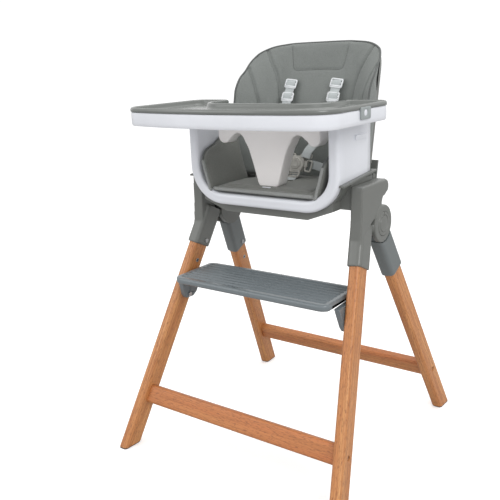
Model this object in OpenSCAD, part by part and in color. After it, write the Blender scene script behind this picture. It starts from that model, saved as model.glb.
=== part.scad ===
// Baby high chair: folding beech legs, grey hubs, white seat shell, padded liner,
// sliding tray with a lift-off insert, ribbed footrest and a five-point harness.
// Millimetres. The origin is on the floor, midway between the four feet.
// +Z is up, the child faces -Y and +X is the viewer's right from the front.

/* [Legs] */
// Distance from the centre plane to the outer face of a front foot
front_foot_x = 308; // [290:1:370]
// Distance from the centre plane to the outer face of a rear foot
rear_foot_x = 296; // [278:1:358]
// Distance from the origin to the middle of the feet, front and rear
foot_y = 303; // [280:1:345]
// Lean of the front leg frame from upright
front_lean = 25.5; // [22:0.5:28]
// Inward splay of each front leg within its frame
front_splay = 7.56; // [6.5:0.02:8]
// Inward splay of each rear leg within its frame
rear_splay = 6.46; // [5.5:0.02:7]
// Width of a leg across the chair
leg_w = 26; // [22:1:30]
// Depth of a leg across its frame
leg_d = 48; // [40:1:52]
// Rounding of the long edges of a leg
leg_r = 8; // [5:0.5:9]
// Thickness of the foot pads
pad_h = 3; // [2:0.5:5]

/* [Stretchers] */
// Height of the stretchers above the floor, at their middle
stretcher_z = 124; // [105:1:150]
// Width of a stretcher in the plane of its frame
stretcher_h = 45; // [38:1:52]
// Thickness of a stretcher across its frame
stretcher_t = 24; // [20:1:30]
// Rounding of the long edges of a stretcher
stretcher_r = 7; // [4:0.5:9]
// Depth that a stretcher is let into each leg
mortice_d = 5; // [3:0.5:8]

/* [Hubs] */
// Height of the fold pivot
pivot_z = 556; // [548:1:570]
// Radius of the round boss at the pivot
boss_r = 43.5; // [42:0.5:48]
// Radius of the steel fold pin
fold_pin_r = 6; // [5:0.5:8]
// Wall of the leg sockets
socket_wall = 4; // [3:0.5:5]
// Length of leg held in a front socket
front_grip = 95; // [80:1:105]
// Length of leg held in a rear socket
rear_grip = 84; // [70:1:95]
// Thickness of the rear socket's tongue
tongue_t = 18; // [14:1:20]
// Radius of the round fold button
button_r = 28; // [24:0.5:31]
// Travel of the fold button
button_travel = 3; // [2:0.5:4]

/* [Footrest] */
// Height of the footrest's top
footrest_z = 424; // [405:1:440]
// Depth of the footrest, front to back
footrest_d = 150; // [130:1:165]
// Thickness of the footrest plate
footrest_t = 15; // [12:1:20]
// Distance from the origin to the footrest's front edge
footrest_front = 192; // [180:1:205]
// Gap between the footrest and each front leg
footrest_gap = 5; // [3:0.5:10]
// Number of grooves along the footrest
groove_count = 8; // [5:1:10]

/* [Seat] */
// Width of the white seat shell
shell_w = 400; // [380:1:404]
// Depth of the seat shell, front to back
shell_d = 148; // [130:1:160]
// Distance from the origin back to the shell's rear edge
shell_back = 32; // [26:1:38]
// Height of the shell's underside
shell_z = 597; // [592:1:602]
// Height of the shell's arms
shell_top = 805; // [800:1:806]
// Thickness of the shell's rounded rim
shell_rim = 26; // [20:1:30]
// Outside radius of the shell's bottom corners
shell_r = 88; // [70:1:100]
// Thickness of the moulded plastic walls
skin = 3; // [2.5:0.25:4]
// Thickness of the seat cushion
cushion_t = 16; // [12:1:18]

/* [Backrest] */
// Lean of the backrest from upright
back_lean = 12.5; // [8:0.5:16]
// Distance from the origin back to the recline hinge
hinge_y = 100; // [96:1:106]
// Height of the recline hinge
hinge_z = 625; // [620:1:630]
// Width of the back cushion
back_w = 374; // [366:1:394]
// Length of the back cushion above the hinge
back_h = 340; // [320:1:380]
// Thickness of the back cushion
back_t = 20; // [14:1:24]
// Depth of the side bolsters, from the back of the cushion
bolster_d = 98; // [80:1:100]

/* [Tray] */
// Width of the tray
tray_w = 520; // [500:1:600]
// Depth of the tray, front to back
tray_d = 290; // [270:1:310]
// Height of the tray's lower edge
tray_z = 791; // [790:1:792]
// Height of the white band round the tray
band_h = 30; // [26:1:34]
// Depth of the bow in the tray's front edge
tray_bow = 27; // [15:1:40]
// Width of the cut-out for the child
notch_w = 316; // [290:1:330]
// Depth of the cut-out for the child
notch_d = 118; // [90:1:130]

/* [Harness] */
// Width of the webbing
web_w = 25; // [20:1:30]
// Thickness of the webbing
web_t = 2; // [1.5:0.5:3]
// Distance from the centre plane to each shoulder strap
strap_x = 64; // [50:1:80]

/* [Hidden] */
$fn = 64;

wood_colour = "peru";
grey_colour = "slategray";
slate_colour = "dimgray";
white_colour = "whitesmoke";
pad_colour = "gray";
webbing_colour = "lightgray";
steel_colour = "silver";

// Clearances: wood in a socket, pieces that slide past each other, pins that turn
fit_gap = 0.3;
slide_gap = 0.4;
pin_gap = 0.05;
// A length longer than the chair, for cuts that go right through
far = 900;

// The rear frame leans so that both frames meet at the fold pivot's height
front_pivot_y = -foot_y + pivot_z * tan(front_lean);
pivot_y = front_pivot_y + 69.5;
rear_lean = atan((foot_y - pivot_y) / pivot_z);
front_len = pivot_z / cos(front_lean) / cos(front_splay);
rear_len = pivot_z / cos(rear_lean) / cos(rear_splay);
front_x = front_foot_x - leg_w / 2 / cos(front_splay);
rear_x = rear_foot_x - leg_w / 2 / cos(rear_splay);
hub_x = front_x - pivot_z / cos(front_lean) * tan(front_splay);

front_leg_len = front_len + 8;
front_socket_start = front_leg_len - front_grip;
rear_leg_len = rear_len - boss_r - 10;
rear_socket_start = rear_leg_len - rear_grip;
socket_w = leg_w + 2 * socket_wall;
socket_d = leg_d + 2 * socket_wall;
socket_r = leg_r + socket_wall / 2;

// The hub across the chair: cover, gap, tongue, gap, outer plate
tongue_in = hub_x - tongue_t / 2;
tongue_out = hub_x + tongue_t / 2;
plate_gap = fit_gap;
cover_in = tongue_in - plate_gap - 10.5;
cover_out = tongue_in - plate_gap;
plate_in = tongue_out + plate_gap;
plate_out = plate_in + 12;
button_floor = plate_out - 7;
tongue_r = 33;
head_in = shell_w / 2 + skin;
head_out = hub_x + 19;
head_z = shell_z + 58;
lug_top = shell_z - 1;
neck_split_z = max(pivot_z + boss_r, lug_top) + 1;
front_socket_end = front_leg_len + 6;
head_nose_r = 16.5;
head_nose_y = 44;

stretcher_w_front = stretcher_z / cos(front_lean);
stretcher_w_rear = stretcher_z / cos(rear_lean);
stretcher_front_half = front_x - stretcher_w_front * tan(front_splay) - leg_w / 2 + mortice_d;
stretcher_rear_half = rear_x - stretcher_w_rear * tan(rear_splay) - leg_w / 2 + mortice_d;
stretcher_v = 2;

footrest_leg_x = front_x - footrest_z * (1 / cos(front_lean)) * tan(front_splay) - leg_w / 2;
footrest_half = footrest_leg_x - footrest_gap - 2;
footrest_leg_y = -foot_y + footrest_z * tan(front_lean);

shell_half = shell_w / 2;
shell_front = shell_back - shell_d;
floor_z = shell_z + shell_rim;
flange_z = shell_z + 67;
flange_t = 4;
cradle_z = shell_z - 19;
arm_z = shell_z + 5;
cradle_front = shell_front + 20;
cradle_back = shell_back + 4;
ear_t = 23;
ear_out = shell_half + 1;
ear_in = ear_out - ear_t;
ear_r = 20;
recline_pin_r = 4;
cushion_top = floor_z + cushion_t + 0.6;
inner_half = shell_half - shell_rim;
inner_r = shell_r - shell_rim;

release_y = -18;
release_z = shell_top - 50;

tray_front = shell_back - 31 - tray_d;
tray_back = shell_back - 31;
deck_z = tray_z + 21;
deck_t = 3;
band_top = tray_z + band_h;
insert_floor_z = deck_z + deck_t + 1.3;
insert_top = band_top + 10;
clip_y = tray_back - 120;

back_half = back_w / 2;
back_r = 88;
back_inner = back_half - 19;
back_skin = 4;
// Heights above the hinge: the pad's lower edge, and where it clears the ears and widens
back_foot = 6;
shoulder_w = 52;
bucket_r = 84;
pad_front = 14;
pad_rear = back_t - pad_front;
cushion_back = hinge_y - pad_front - 1;
guard_y = -62;
guard_t = 36;
guard_foot_z = cushion_top + 2.4;
guard_top = tray_z - 6;
guard_half = 137.5;
guard_neck = 60;
guard_foot = 22;
guard_arm_z = guard_top - 33;
lobe_r = 17;
lobe_x = guard_half - lobe_r + 0.5;
lobe_z = guard_arm_z + 1;
scoop_r = 20;
scoop_x = guard_neck + 22;
scoop_z = guard_arm_z - 14;
buckle_y = 44;
buckle_z = cushion_top + 37.4;
buckle_tilt = 20;

// ---- Frames of reference ----

module mirrored(side) {
    mirror([side < 0 ? 1 : 0, 0, 0])
        children();
}

module in_front_frame() {
    translate([0, -foot_y, 0])
        rotate([-front_lean, 0, 0])
            children();
}

module in_rear_frame() {
    translate([0, foot_y, 0])
        rotate([rear_lean, 0, 0])
            children();
}

module on_front_leg() {
    in_front_frame()
        translate([front_x, 0, 0])
            rotate([0, -front_splay, 0])
                children();
}

module on_rear_leg() {
    in_rear_frame()
        translate([rear_x, 0, 0])
            rotate([0, -rear_splay, 0])
                children();
}

module at_pivot() {
    translate([0, pivot_y, pivot_z])
        rotate([0, 90, 0])
            children();
}

module in_back_frame() {
    translate([0, hinge_y, hinge_z])
        rotate([-back_lean, 0, 0])
            children();
}

// ---- Shapes that repeat ----

module rounded_rect(w, d, r) {
    square([w - 2 * r, d], center = true);
    square([w, d - 2 * r], center = true);
    for (x = [-1, 1], y = [-1, 1])
        translate([x * (w / 2 - r), y * (d / 2 - r)])
            circle(r);
}

// A closed U: flat sides, flat bottom and two round bottom corners
module u_outline(half, bottom, top, r) {
    intersection() {
        union() {
            translate([-half, bottom + r])
                square([2 * half, far]);
            translate([-half + r, bottom])
                square([2 * (half - r), far]);
            for (x = [-1, 1])
                translate([x * (half - r), bottom + r])
                    circle(r);
        }
        translate([-half - 1, bottom - 1])
            square([2 * half + 2, top - bottom + 1]);
    }
}

// Stands an outline drawn in X and Z up, and extrudes it from y0 to y1
module along_y(y0, y1) {
    translate([0, y1, 0])
        rotate([90, 0, 0])
            linear_extrude(y1 - y0)
                children();
}

// Stands an outline drawn in Y and Z up, and extrudes it from x0 to x1
module along_x(x0, x1) {
    translate([x0, 0, 0])
        rotate([90, 0, 90])
            linear_extrude(x1 - x0)
                children();
}

module box(low, high) {
    translate(low)
        cube(high - low);
}

module below_floor(h) {
    translate([-far, -far, -far])
        cube([2 * far, 2 * far, far + h]);
}

// ---- Legs and stretchers ----

module leg_stick(from, to, grow = 0) {
    translate([0, 0, from])
        linear_extrude(to - from)
            rounded_rect(leg_w + 2 * grow, leg_d + 2 * grow, leg_r + grow);
}

module stretcher_bar(half, along, grow = 0) {
    translate([-half, stretcher_v, along])
        rotate([0, 90, 0])
            linear_extrude(2 * half)
                rounded_rect(stretcher_h + 2 * grow, stretcher_t + 2 * grow, stretcher_r + grow);
}

bolt_r = 3;
bolt_head_r = 6;
socket_bolt_up = 14;
socket_bolt_down = 40;
eyelet_r = 5;

module stretcher_bolt_line(half, along, r, from, to) {
    translate([half - mortice_d + from, stretcher_v, along])
        rotate([0, 90, 0])
            cylinder(h = to - from, r = r);
}

module front_leg() {
    color(wood_colour)
    difference() {
        on_front_leg()
            leg_stick(-40, front_leg_len);
        below_floor(pad_h);
        in_front_frame() {
            stretcher_bar(stretcher_front_half + 0.5, stretcher_w_front, 0.4);
            stretcher_bolt_line(stretcher_front_half, stretcher_w_front, bolt_r + 0.1, -20, 60);
            stretcher_bolt_line(stretcher_front_half, stretcher_w_front, bolt_head_r + 0.2, 19, 60);
        }
        on_front_leg()
            socket_bolt_holes(front_socket_start);
    }
}

module rear_leg() {
    color(wood_colour)
    difference() {
        on_rear_leg()
            leg_stick(-40, rear_leg_len);
        below_floor(pad_h);
        in_rear_frame() {
            stretcher_bar(stretcher_rear_half + 0.5, stretcher_w_rear, 0.4);
            stretcher_bolt_line(stretcher_rear_half, stretcher_w_rear, bolt_r + 0.1, -20, 60);
            stretcher_bolt_line(stretcher_rear_half, stretcher_w_rear, bolt_head_r + 0.2, 19, 60);
        }
        on_rear_leg()
            socket_bolt_holes(rear_socket_start);
    }
}

// Holes in a leg's inner face: the socket bolt above, the spare threaded eyelet below
module socket_bolt_holes(start) {
    translate([-leg_w / 2 - 1, 6, start + socket_bolt_up])
        rotate([0, 90, 0])
            cylinder(h = 19, r = bolt_r + 0.1);
    translate([-leg_w / 2 - 1, 2, start - socket_bolt_down])
        rotate([0, 90, 0])
            cylinder(h = 13, r = eyelet_r + 0.1);
}

module front_leg_left() { mirrored(-1) front_leg(); }
module front_leg_right() { front_leg(); }
module rear_leg_left() { mirrored(-1) rear_leg(); }
module rear_leg_right() { rear_leg(); }

module front_stretcher() {
    color(wood_colour)
    in_front_frame()
        difference() {
            stretcher_bar(stretcher_front_half, stretcher_w_front);
            for (side = [-1, 1])
                mirrored(side)
                    stretcher_bolt_line(stretcher_front_half, stretcher_w_front, bolt_r + 0.1, -40, 20);
        }
}

module rear_stretcher() {
    color(wood_colour)
    in_rear_frame()
        difference() {
            stretcher_bar(stretcher_rear_half, stretcher_w_rear);
            for (side = [-1, 1])
                mirrored(side)
                    stretcher_bolt_line(stretcher_rear_half, stretcher_w_rear, bolt_r + 0.1, -40, 20);
        }
}

module foot_pad_slab() {
    box([-far, -far, 0], [far, far, pad_h]);
}

module front_foot_pads() {
    color(slate_colour)
    for (side = [-1, 1])
        mirrored(side)
            intersection() {
                on_front_leg()
                    leg_stick(-40, 60, -1.2);
                foot_pad_slab();
            }
}

module rear_foot_pads() {
    color(slate_colour)
    for (side = [-1, 1])
        mirrored(side)
            intersection() {
                on_rear_leg()
                    leg_stick(-40, 60, -1.2);
                foot_pad_slab();
            }
}

module stretcher_bolt(half, along) {
    stretcher_bolt_line(half, along, bolt_r, -38, 22);
    difference() {
        stretcher_bolt_line(half, along, bolt_head_r, 19.2, 22.5);
        translate([half - mortice_d + 20.5, stretcher_v, along])
            rotate([0, 90, 0])
                cylinder(h = 5, r = 2.4, $fn = 6);
    }
}

module front_stretcher_bolts() {
    color(steel_colour)
    for (side = [-1, 1])
        mirrored(side)
            in_front_frame()
                stretcher_bolt(stretcher_front_half, stretcher_w_front);
}

module rear_stretcher_bolts() {
    color(steel_colour)
    for (side = [-1, 1])
        mirrored(side)
            in_rear_frame()
                stretcher_bolt(stretcher_rear_half, stretcher_w_rear);
}

// ---- Hubs and sockets ----

module leg_socket(from, to, grow = 0) {
    translate([0, 0, from])
        linear_extrude(to - from)
            rounded_rect(socket_w + 2 * grow, socket_d + 2 * grow, socket_r + grow);
}

module socket_bolt_bore(start) {
    translate([-socket_w / 2 - 1, 6, start + socket_bolt_up])
        rotate([0, 90, 0])
            cylinder(h = socket_wall + 2, r = bolt_r + 0.1);
}

// Side view of the hub's neck and head, drawn in Y and Z
module neck_outline() {
    difference() {
        union() {
            polygon([
                [front_pivot_y - 40, pivot_z - 22],
                [front_pivot_y - 34, pivot_z + 44],
                [front_pivot_y - 32, head_z],
                [head_nose_y, head_z],
                [head_nose_y, head_z - 2 * head_nose_r],
                [pivot_y - 8, pivot_z + boss_r - 6],
                [front_pivot_y + 10, pivot_z + 10]
            ]);
            translate([head_nose_y, head_z - head_nose_r])
                circle(head_nose_r);
        }
        translate([head_nose_y, head_z - 2 * head_nose_r - 19])
            circle(19);
    }
}

module hub() {
    color(grey_colour)
    difference() {
        union() {
            on_front_leg()
                leg_socket(front_socket_start, front_socket_end);
            intersection() {
                along_x(head_in, head_out)
                    neck_outline();
                box([0, -far, neck_split_z], [far, far, far]);
            }
            intersection() {
                along_x(cover_out, head_out)
                    neck_outline();
                box([0, -far, 0], [far, far, neck_split_z]);
            }
            at_pivot()
                translate([0, 0, plate_in])
                    cylinder(h = plate_out - plate_in, r = boss_r);
        }
        on_front_leg()
            leg_stick(front_socket_start - 1, front_leg_len + 0.5, fit_gap);
        on_front_leg()
            socket_bolt_bore(front_socket_start);
        at_pivot() {
            translate([0, 0, cover_in - 5])
                cylinder(h = plate_in - cover_in + 5, r = tongue_r + 0.5);
            translate([0, 0, cover_in])
                cylinder(h = plate_out - cover_in - 8, r = fold_pin_r + pin_gap);
            translate([0, 0, button_floor])
                cylinder(h = 20, r = button_r + 0.08);
        }
        for (p = cover_screw_places)
            translate([cover_out - 1, p[0], p[1]])
                rotate([0, 90, 0])
                    cylinder(h = 11, r = 2.1);
        for (p = cradle_bolt_places)
            translate([head_in - 1, p[0], p[1]])
                rotate([0, 90, 0])
                    cylinder(h = 17, r = 3.1);
    }
}

cover_screw_places = [
    [front_pivot_y + 14, pivot_z + 28],
    [pivot_y - 12, pivot_z + 37]
];
cradle_bolt_places = [
    [front_pivot_y - 12, head_z - 14],
    [head_nose_y - 8, head_z - 14]
];

module hub_left() { mirrored(-1) hub(); }
module hub_right() { hub(); }

// The inner cheek of the clevis: a round plate with two screw lugs
module hub_cover() {
    color(grey_colour)
    difference() {
        union() {
            at_pivot()
                translate([0, 0, cover_in])
                    cylinder(h = cover_out - cover_in, r = boss_r);
            along_x(cover_in, cover_out)
                polygon([
                    [front_pivot_y + 21, pivot_z + 6],
                    [front_pivot_y + 8, pivot_z + 38],
                    [pivot_y - 2, lug_top],
                    [pivot_y + 6, pivot_z + 30]
                ]);
        }
        at_pivot()
            translate([0, 0, cover_in - 1])
                cylinder(h = cover_out - cover_in + 2, r = fold_pin_r + pin_gap);
        on_front_leg()
            leg_socket(front_socket_start - 1, front_socket_end + 2, fit_gap);
        for (p = cover_screw_places)
            translate([cover_in - 1, p[0], p[1]])
                rotate([0, 90, 0]) {
                    cylinder(h = 20, r = 2.2);
                    cylinder(h = 4.2, r = 4.2);
                }
    }
}

module hub_cover_left() { mirrored(-1) hub_cover(); }
module hub_cover_right() { hub_cover(); }

module hub_cover_screws() {
    color(steel_colour)
    for (side = [-1, 1])
        mirrored(side)
            for (p = cover_screw_places)
                translate([cover_in + 0.6, p[0], p[1]])
                    rotate([0, 90, 0])
                        difference() {
                            union() {
                                cylinder(h = 2.4, r = 4);
                                cylinder(h = 19, r = 2);
                            }
                            for (turn = [0, 90])
                                rotate([0, 0, turn])
                                    translate([-2.4, -0.4, -1])
                                        cube([4.8, 0.8, 2]);
                        }
}

module fold_pins() {
    color(steel_colour)
    for (side = [-1, 1])
        mirrored(side)
            at_pivot() {
                translate([0, 0, cover_in - 3])
                    cylinder(h = 3, r = 9);
                translate([0, 0, cover_in - 3])
                    cylinder(h = plate_out - cover_in - 6, r = fold_pin_r);
            }
}

module fold_button() {
    color(grey_colour)
    at_pivot() {
        translate([0, 0, button_floor + button_travel + 0.5])
            cylinder(h = 3, r = button_r);
        translate([0, 0, button_floor + button_travel + 3.5])
            cylinder(h = 1.2, r1 = button_r, r2 = button_r - 2);
    }
}

module fold_button_left() { mirrored(-1) fold_button(); }
module fold_button_right() { fold_button(); }

module rear_socket() {
    color(grey_colour)
    difference() {
        union() {
            difference() {
                on_rear_leg()
                    leg_socket(rear_socket_start, rear_len);
                at_pivot()
                    cylinder(h = far, r = boss_r + 1);
            }
            intersection() {
                union() {
                    at_pivot()
                        cylinder(h = far, r = tongue_r);
                    in_rear_frame()
                        translate([0, -26, rear_len * cos(rear_splay) - boss_r - 6])
                            cube([far, 52, boss_r + 6]);
                }
                box([tongue_in, -far, 0], [tongue_out, far, far]);
            }
        }
        on_rear_leg()
            leg_stick(rear_socket_start - 1, rear_leg_len + 0.5, fit_gap);
        on_rear_leg()
            socket_bolt_bore(rear_socket_start);
        at_pivot()
            cylinder(h = far, r = fold_pin_r + pin_gap);
    }
}

module rear_socket_left() { mirrored(-1) rear_socket(); }
module rear_socket_right() { rear_socket(); }

module socket_bolt(start) {
    translate([-socket_w / 2 - 2.5, 6, start + socket_bolt_up])
        rotate([0, 90, 0])
            difference() {
                union() {
                    cylinder(h = 2.5, r = 5);
                    cylinder(h = 22, r = bolt_r);
                }
                translate([0, 0, -1])
                    cylinder(h = 2.6, r = 2.2, $fn = 6);
            }
}

module front_socket_bolts() {
    color(steel_colour)
    for (side = [-1, 1])
        mirrored(side)
            on_front_leg()
                socket_bolt(front_socket_start);
}

module rear_socket_bolts() {
    color(steel_colour)
    for (side = [-1, 1])
        mirrored(side)
            on_rear_leg()
                socket_bolt(rear_socket_start);
}

module leg_eyelet(start) {
    translate([-leg_w / 2 - 0.8, 2, start - socket_bolt_down])
        rotate([0, 90, 0])
            difference() {
                cylinder(h = 12, r = eyelet_r);
                translate([0, 0, -1])
                    cylinder(h = 14, r = 2.6);
            }
}

module front_leg_eyelets() {
    color(steel_colour)
    for (side = [-1, 1])
        mirrored(side)
            on_front_leg()
                leg_eyelet(front_socket_start);
}

module rear_leg_eyelets() {
    color(steel_colour)
    for (side = [-1, 1])
        mirrored(side)
            on_rear_leg()
                leg_eyelet(rear_socket_start);
}

// ---- Footrest ----

module footrest() {
    pitch = (footrest_d - 26) / groove_count;
    middle = -footrest_front + footrest_d / 2;
    color(slate_colour)
    difference() {
        translate([0, middle, footrest_z - footrest_t])
            linear_extrude(footrest_t)
                rounded_rect(2 * footrest_half, footrest_d, 22);
        for (i = [0 : groove_count - 1])
            box([-footrest_half + 14, -footrest_front + 15 + i * pitch, footrest_z - 2.5],
                [footrest_half - 14, -footrest_front + 15 + i * pitch + 6, footrest_z + 1]);
        translate([0, middle, footrest_z - footrest_t - 1])
            linear_extrude(footrest_t - 5)
                rounded_rect(2 * footrest_half - 60, footrest_d - 10, 18);
    }
}

bracket_t = 9;

// Gusset under each end of the footrest, against the inner face of the front leg
module footrest_bracket() {
    color(slate_colour)
    difference() {
        intersection() {
            along_x(footrest_leg_x - bracket_t - 4, far)
                polygon([
                    [footrest_leg_y - 60, footrest_z - footrest_t],
                    [footrest_leg_y + 14, footrest_z - footrest_t],
                    [footrest_leg_y - 2, footrest_z - footrest_t - 46],
                    [footrest_leg_y - 14, footrest_z - footrest_t - 56],
                    [footrest_leg_y - 38, footrest_z - footrest_t - 56],
                    [footrest_leg_y - 46, footrest_z - footrest_t - 44]
                ]);
            in_front_frame()
                translate([front_x, 0, 0])
                    rotate([0, -front_splay, 0])
                        box([-leg_w / 2 - bracket_t - 4, -far, 0], [-leg_w / 2, far, far]);
        }
        for (p = bracket_bolt_places)
            bracket_bolt_line(p, 3.1, -bracket_t - 10, 14);
    }
}

bracket_bolt_places = [
    [0, footrest_z - footrest_t - 20],
    [0, footrest_z - footrest_t - 44]
];

// A line square to the leg's inner face, at a given height on the leg
module bracket_bolt_line(p, r, from, to) {
    on_front_leg()
        translate([-leg_w / 2 + from, p[0], p[1] / cos(front_lean) / cos(front_splay)])
            rotate([0, 90, 0])
                cylinder(h = to - from, r = r);
}

module footrest_bracket_left() { mirrored(-1) footrest_bracket(); }
module footrest_bracket_right() { footrest_bracket(); }

module footrest_bolts() {
    color(steel_colour)
    for (side = [-1, 1])
        mirrored(side)
            for (p = bracket_bolt_places) {
                bracket_bolt_line(p, 3, -bracket_t - 4, -0.3);
                bracket_bolt_line(p, 5.5, -bracket_t - 7, -bracket_t - 4);
            }
}

// ---- Seat base and shell ----

// Cross-section of the base: a wall close round the shell, and a flat pan whose sides slope up
// to the arms that meet the hubs
module cradle_outline() {
    arm_half = shell_half - 24;
    pan_half = arm_half - 64;
    u_outline(head_in, shell_z - skin, flange_z + 12, shell_r + skin);
    polygon([
        [-pan_half, cradle_z], [pan_half, cradle_z], [arm_half, arm_z], [arm_half, arm_z + 30],
        [-arm_half, arm_z + 30], [-arm_half, arm_z]
    ]);
}

// Side view of the flange, which rises to the back
module flange_outline(low, high) {
    polygon([
        [shell_front + 8, flange_z - 6 + low], [cradle_back + 10, flange_z + 8 + low],
        [cradle_back + 10, flange_z + 8 + high], [shell_front + 8, flange_z - 6 + high]
    ]);
}

module shell_space() {
    u_outline(shell_half + fit_gap, shell_z - fit_gap, flange_z + 40, shell_r + fit_gap);
}

module seat_cradle() {
    beam_cell = 40;
    color(grey_colour)
    difference() {
        union() {
            along_y(cradle_front, cradle_back)
                cradle_outline();
            box([-head_in, front_pivot_y - 26, arm_z], [head_in, cradle_back, flange_z]);
            along_x(-head_in - 6, head_in + 6)
                flange_outline(0, flange_t);
            for (side = [-1, 1])
                mirrored(side) {
                    along_x(ear_in, ear_out)
                        polygon([
                            [cradle_back - 20, hinge_z - ear_r - 18],
                            [cradle_back - 20, hinge_z + ear_r],
                            [hinge_y, hinge_z + ear_r],
                            [hinge_y + 10, hinge_z - ear_r + 3],
                            [hinge_y, hinge_z - ear_r]
                        ]);
                    translate([ear_in, hinge_y, hinge_z])
                        rotate([0, 90, 0])
                            cylinder(h = ear_out - ear_in, r = ear_r);
                }
        }
        along_y(-far, shell_back + fit_gap)
            shell_space();
        along_x(-far, far)
            flange_outline(flange_t, 60);
        box([-ear_in, 0, floor_z - 6], [ear_in, far, far]);
        for (x = [-3 : 3])
            for (y = [0, 1])
                box([x * 44 - beam_cell / 2, -32 + y * 33, cradle_z - 1],
                    [x * 44 + beam_cell / 2, -4 + y * 33, cradle_z + 14]);
        for (side = [-1, 1])
            mirrored(side) {
                translate([ear_in - 1, hinge_y, hinge_z])
                    rotate([0, 90, 0])
                        cylinder(h = ear_out - ear_in + 5, r = recline_pin_r + pin_gap);
                for (p = cradle_bolt_places)
                    translate([shell_half - 12, p[0], p[1]])
                        rotate([0, 90, 0])
                            cylinder(h = 30, r = 3.1);
                at_pivot()
                    translate([0, 0, cover_in - 4])
                        cylinder(h = far, r = boss_r + 0.5);
                box([cover_in - 4, front_pivot_y + 4, 0], [far, pivot_y + 8, shell_z]);
                on_front_leg()
                    leg_socket(front_socket_start, front_socket_end + fit_gap, fit_gap);
                intersection() {
                    along_x(cover_out - fit_gap, far)
                        neck_outline();
                    box([0, -far, 0], [far, far, neck_split_z]);
                }
            }
    }
}

module cradle_bolts() {
    color(steel_colour)
    for (side = [-1, 1])
        mirrored(side)
            for (p = cradle_bolt_places)
                translate([head_in - 2.5, p[0], p[1]])
                    rotate([0, 90, 0])
                        cylinder(h = 16, r = 3);
}

module shell_ring(inset) {
    difference() {
        u_outline(shell_half - inset, shell_z + inset, shell_top - inset, shell_r - inset);
        u_outline(inner_half + inset, floor_z - inset, shell_top + 50, inner_r + inset);
    }
}

module seat_shell() {
    rib_t = 3;
    color(white_colour)
    difference() {
        along_y(shell_front, shell_back)
            shell_ring(0);
        difference() {
            along_y(shell_front + skin, shell_back + 1)
                shell_ring(skin);
            for (x = [-120, -60, 0, 60, 120])
                box([x - rib_t / 2, shell_front, shell_z], [x + rib_t / 2, shell_back - 2, floor_z]);
            for (side = [-1, 1])
                mirrored(side)
                    box([inner_half, release_y - 34, release_z - 12], [shell_half, release_y + 34, release_z + 12]);
            box([-30, guard_y - 14, shell_z], [30, guard_y + 14, floor_z]);
        }
        for (side = [-1, 1])
            mirrored(side)
                box([shell_half - 14, release_y - 27, release_z - 5], [shell_half + 1, release_y + 27, release_z + 5]);
        box([-14, guard_y - 5, floor_z - 16], [14, guard_y + 5, floor_z + 1]);
    }
}

module tray_release() {
    color(white_colour)
    box([shell_half - 9, release_y - 27 + slide_gap, release_z - 5 + slide_gap],
        [shell_half + 4.5, release_y + 27 - slide_gap, release_z + 5 - slide_gap]);
}

module tray_release_left() { mirrored(-1) tray_release(); }
module tray_release_right() { tray_release(); }

// Shelf behind the shell that carries the back of the cushion
module seat_pan() {
    color(grey_colour)
    difference() {
        box([-ear_in, cradle_back, floor_z - 6], [ear_in, hinge_y - 22, floor_z]);
        for (x = [-120 : 60 : 120])
            box([x - 22, cradle_back + 8, floor_z - 7], [x + 22, hinge_y - 30, floor_z - 3]);
    }
}

// ---- Seat liner ----

module liner_space() {
    u_outline(inner_half - 0.6, floor_z + 0.6, shell_top, inner_r - 0.6);
}

module seat_cushion() {
    half = inner_half - 36;
    color(pad_colour)
    difference() {
        union() {
            intersection() {
                along_y(shell_front + 9, shell_back)
                    liner_space();
                box([-half, -far, 0], [half, far, cushion_top]);
            }
            box([-half + 16, shell_back - 1, floor_z + 0.6], [half - 16, cushion_back, cushion_top]);
        }
        box([-15, guard_y - 6, 0], [15, guard_y + 6, far]);
        box([-15, -4, 0], [15, 4, far]);
    }
}

module side_pad() {
    foot = inner_half - 35;
    color(pad_colour)
    intersection() {
        along_y(shell_front + 8, shell_back - 2)
            difference() {
                liner_space();
                polygon([
                    [-far, 0], [foot, 0], [foot, cushion_top + 1], [inner_half - 10, cushion_top + 96],
                    [inner_half - 10, far], [-far, far]
                ]);
            }
        along_x(0, far)
            polygon([
                [shell_front, floor_z],
                [shell_front, cushion_top + 68],
                [shell_front + 26, cushion_top + 82],
                [shell_front + 56, cushion_top + 90],
                [shell_front + 94, cushion_top + 108],
                [shell_back, cushion_top + 126],
                [shell_back, floor_z]
            ]);
    }
}

module side_pad_left() { mirrored(-1) side_pad(); }
module side_pad_right() { side_pad(); }

// ---- Backrest ----

// Plan of the bucket, drawn in X and minus V: a U that opens to the front
module bucket_plan(outer, rear, r_out, inner, front_face, r_in) {
    difference() {
        u_outline(outer, rear, bolster_d, r_out);
        u_outline(inner, front_face, far, r_in);
    }
}

// Front outline of the back, drawn in X and W
module back_outline(inset) {
    half = back_half - inset;
    r = back_r - inset;
    translate([-half, shoulder_w])
        square([2 * half, back_h - back_r - shoulder_w]);
    translate([-half + r, shoulder_w])
        square([2 * (half - r), back_h - inset - shoulder_w]);
    for (x = [-1, 1])
        translate([x * (half - r), back_h - back_r])
            circle(r);
    translate([-ear_in + 2, back_foot])
        square([2 * (ear_in - 2), shoulder_w + 1 - back_foot]);
}

// Side outline of the back, drawn in V and W: the bolsters sink into the back at the top
module bolster_outline(back, rear) {
    polygon([
        [rear, 0], [-60 + back, 0], [-69 + back, 20], [-81 + back, 60], [-bolster_d + 7 + back, 112],
        [-bolster_d + back, 152],
        [-bolster_d + back, back_h - 130], [-bolster_d + 30 + back, back_h - 76],
        [-bolster_d + 57 + back, back_h - 40], [-24 + back, back_h - 16], [-9 + back, back_h], [rear, back_h]
    ]);
}

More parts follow.
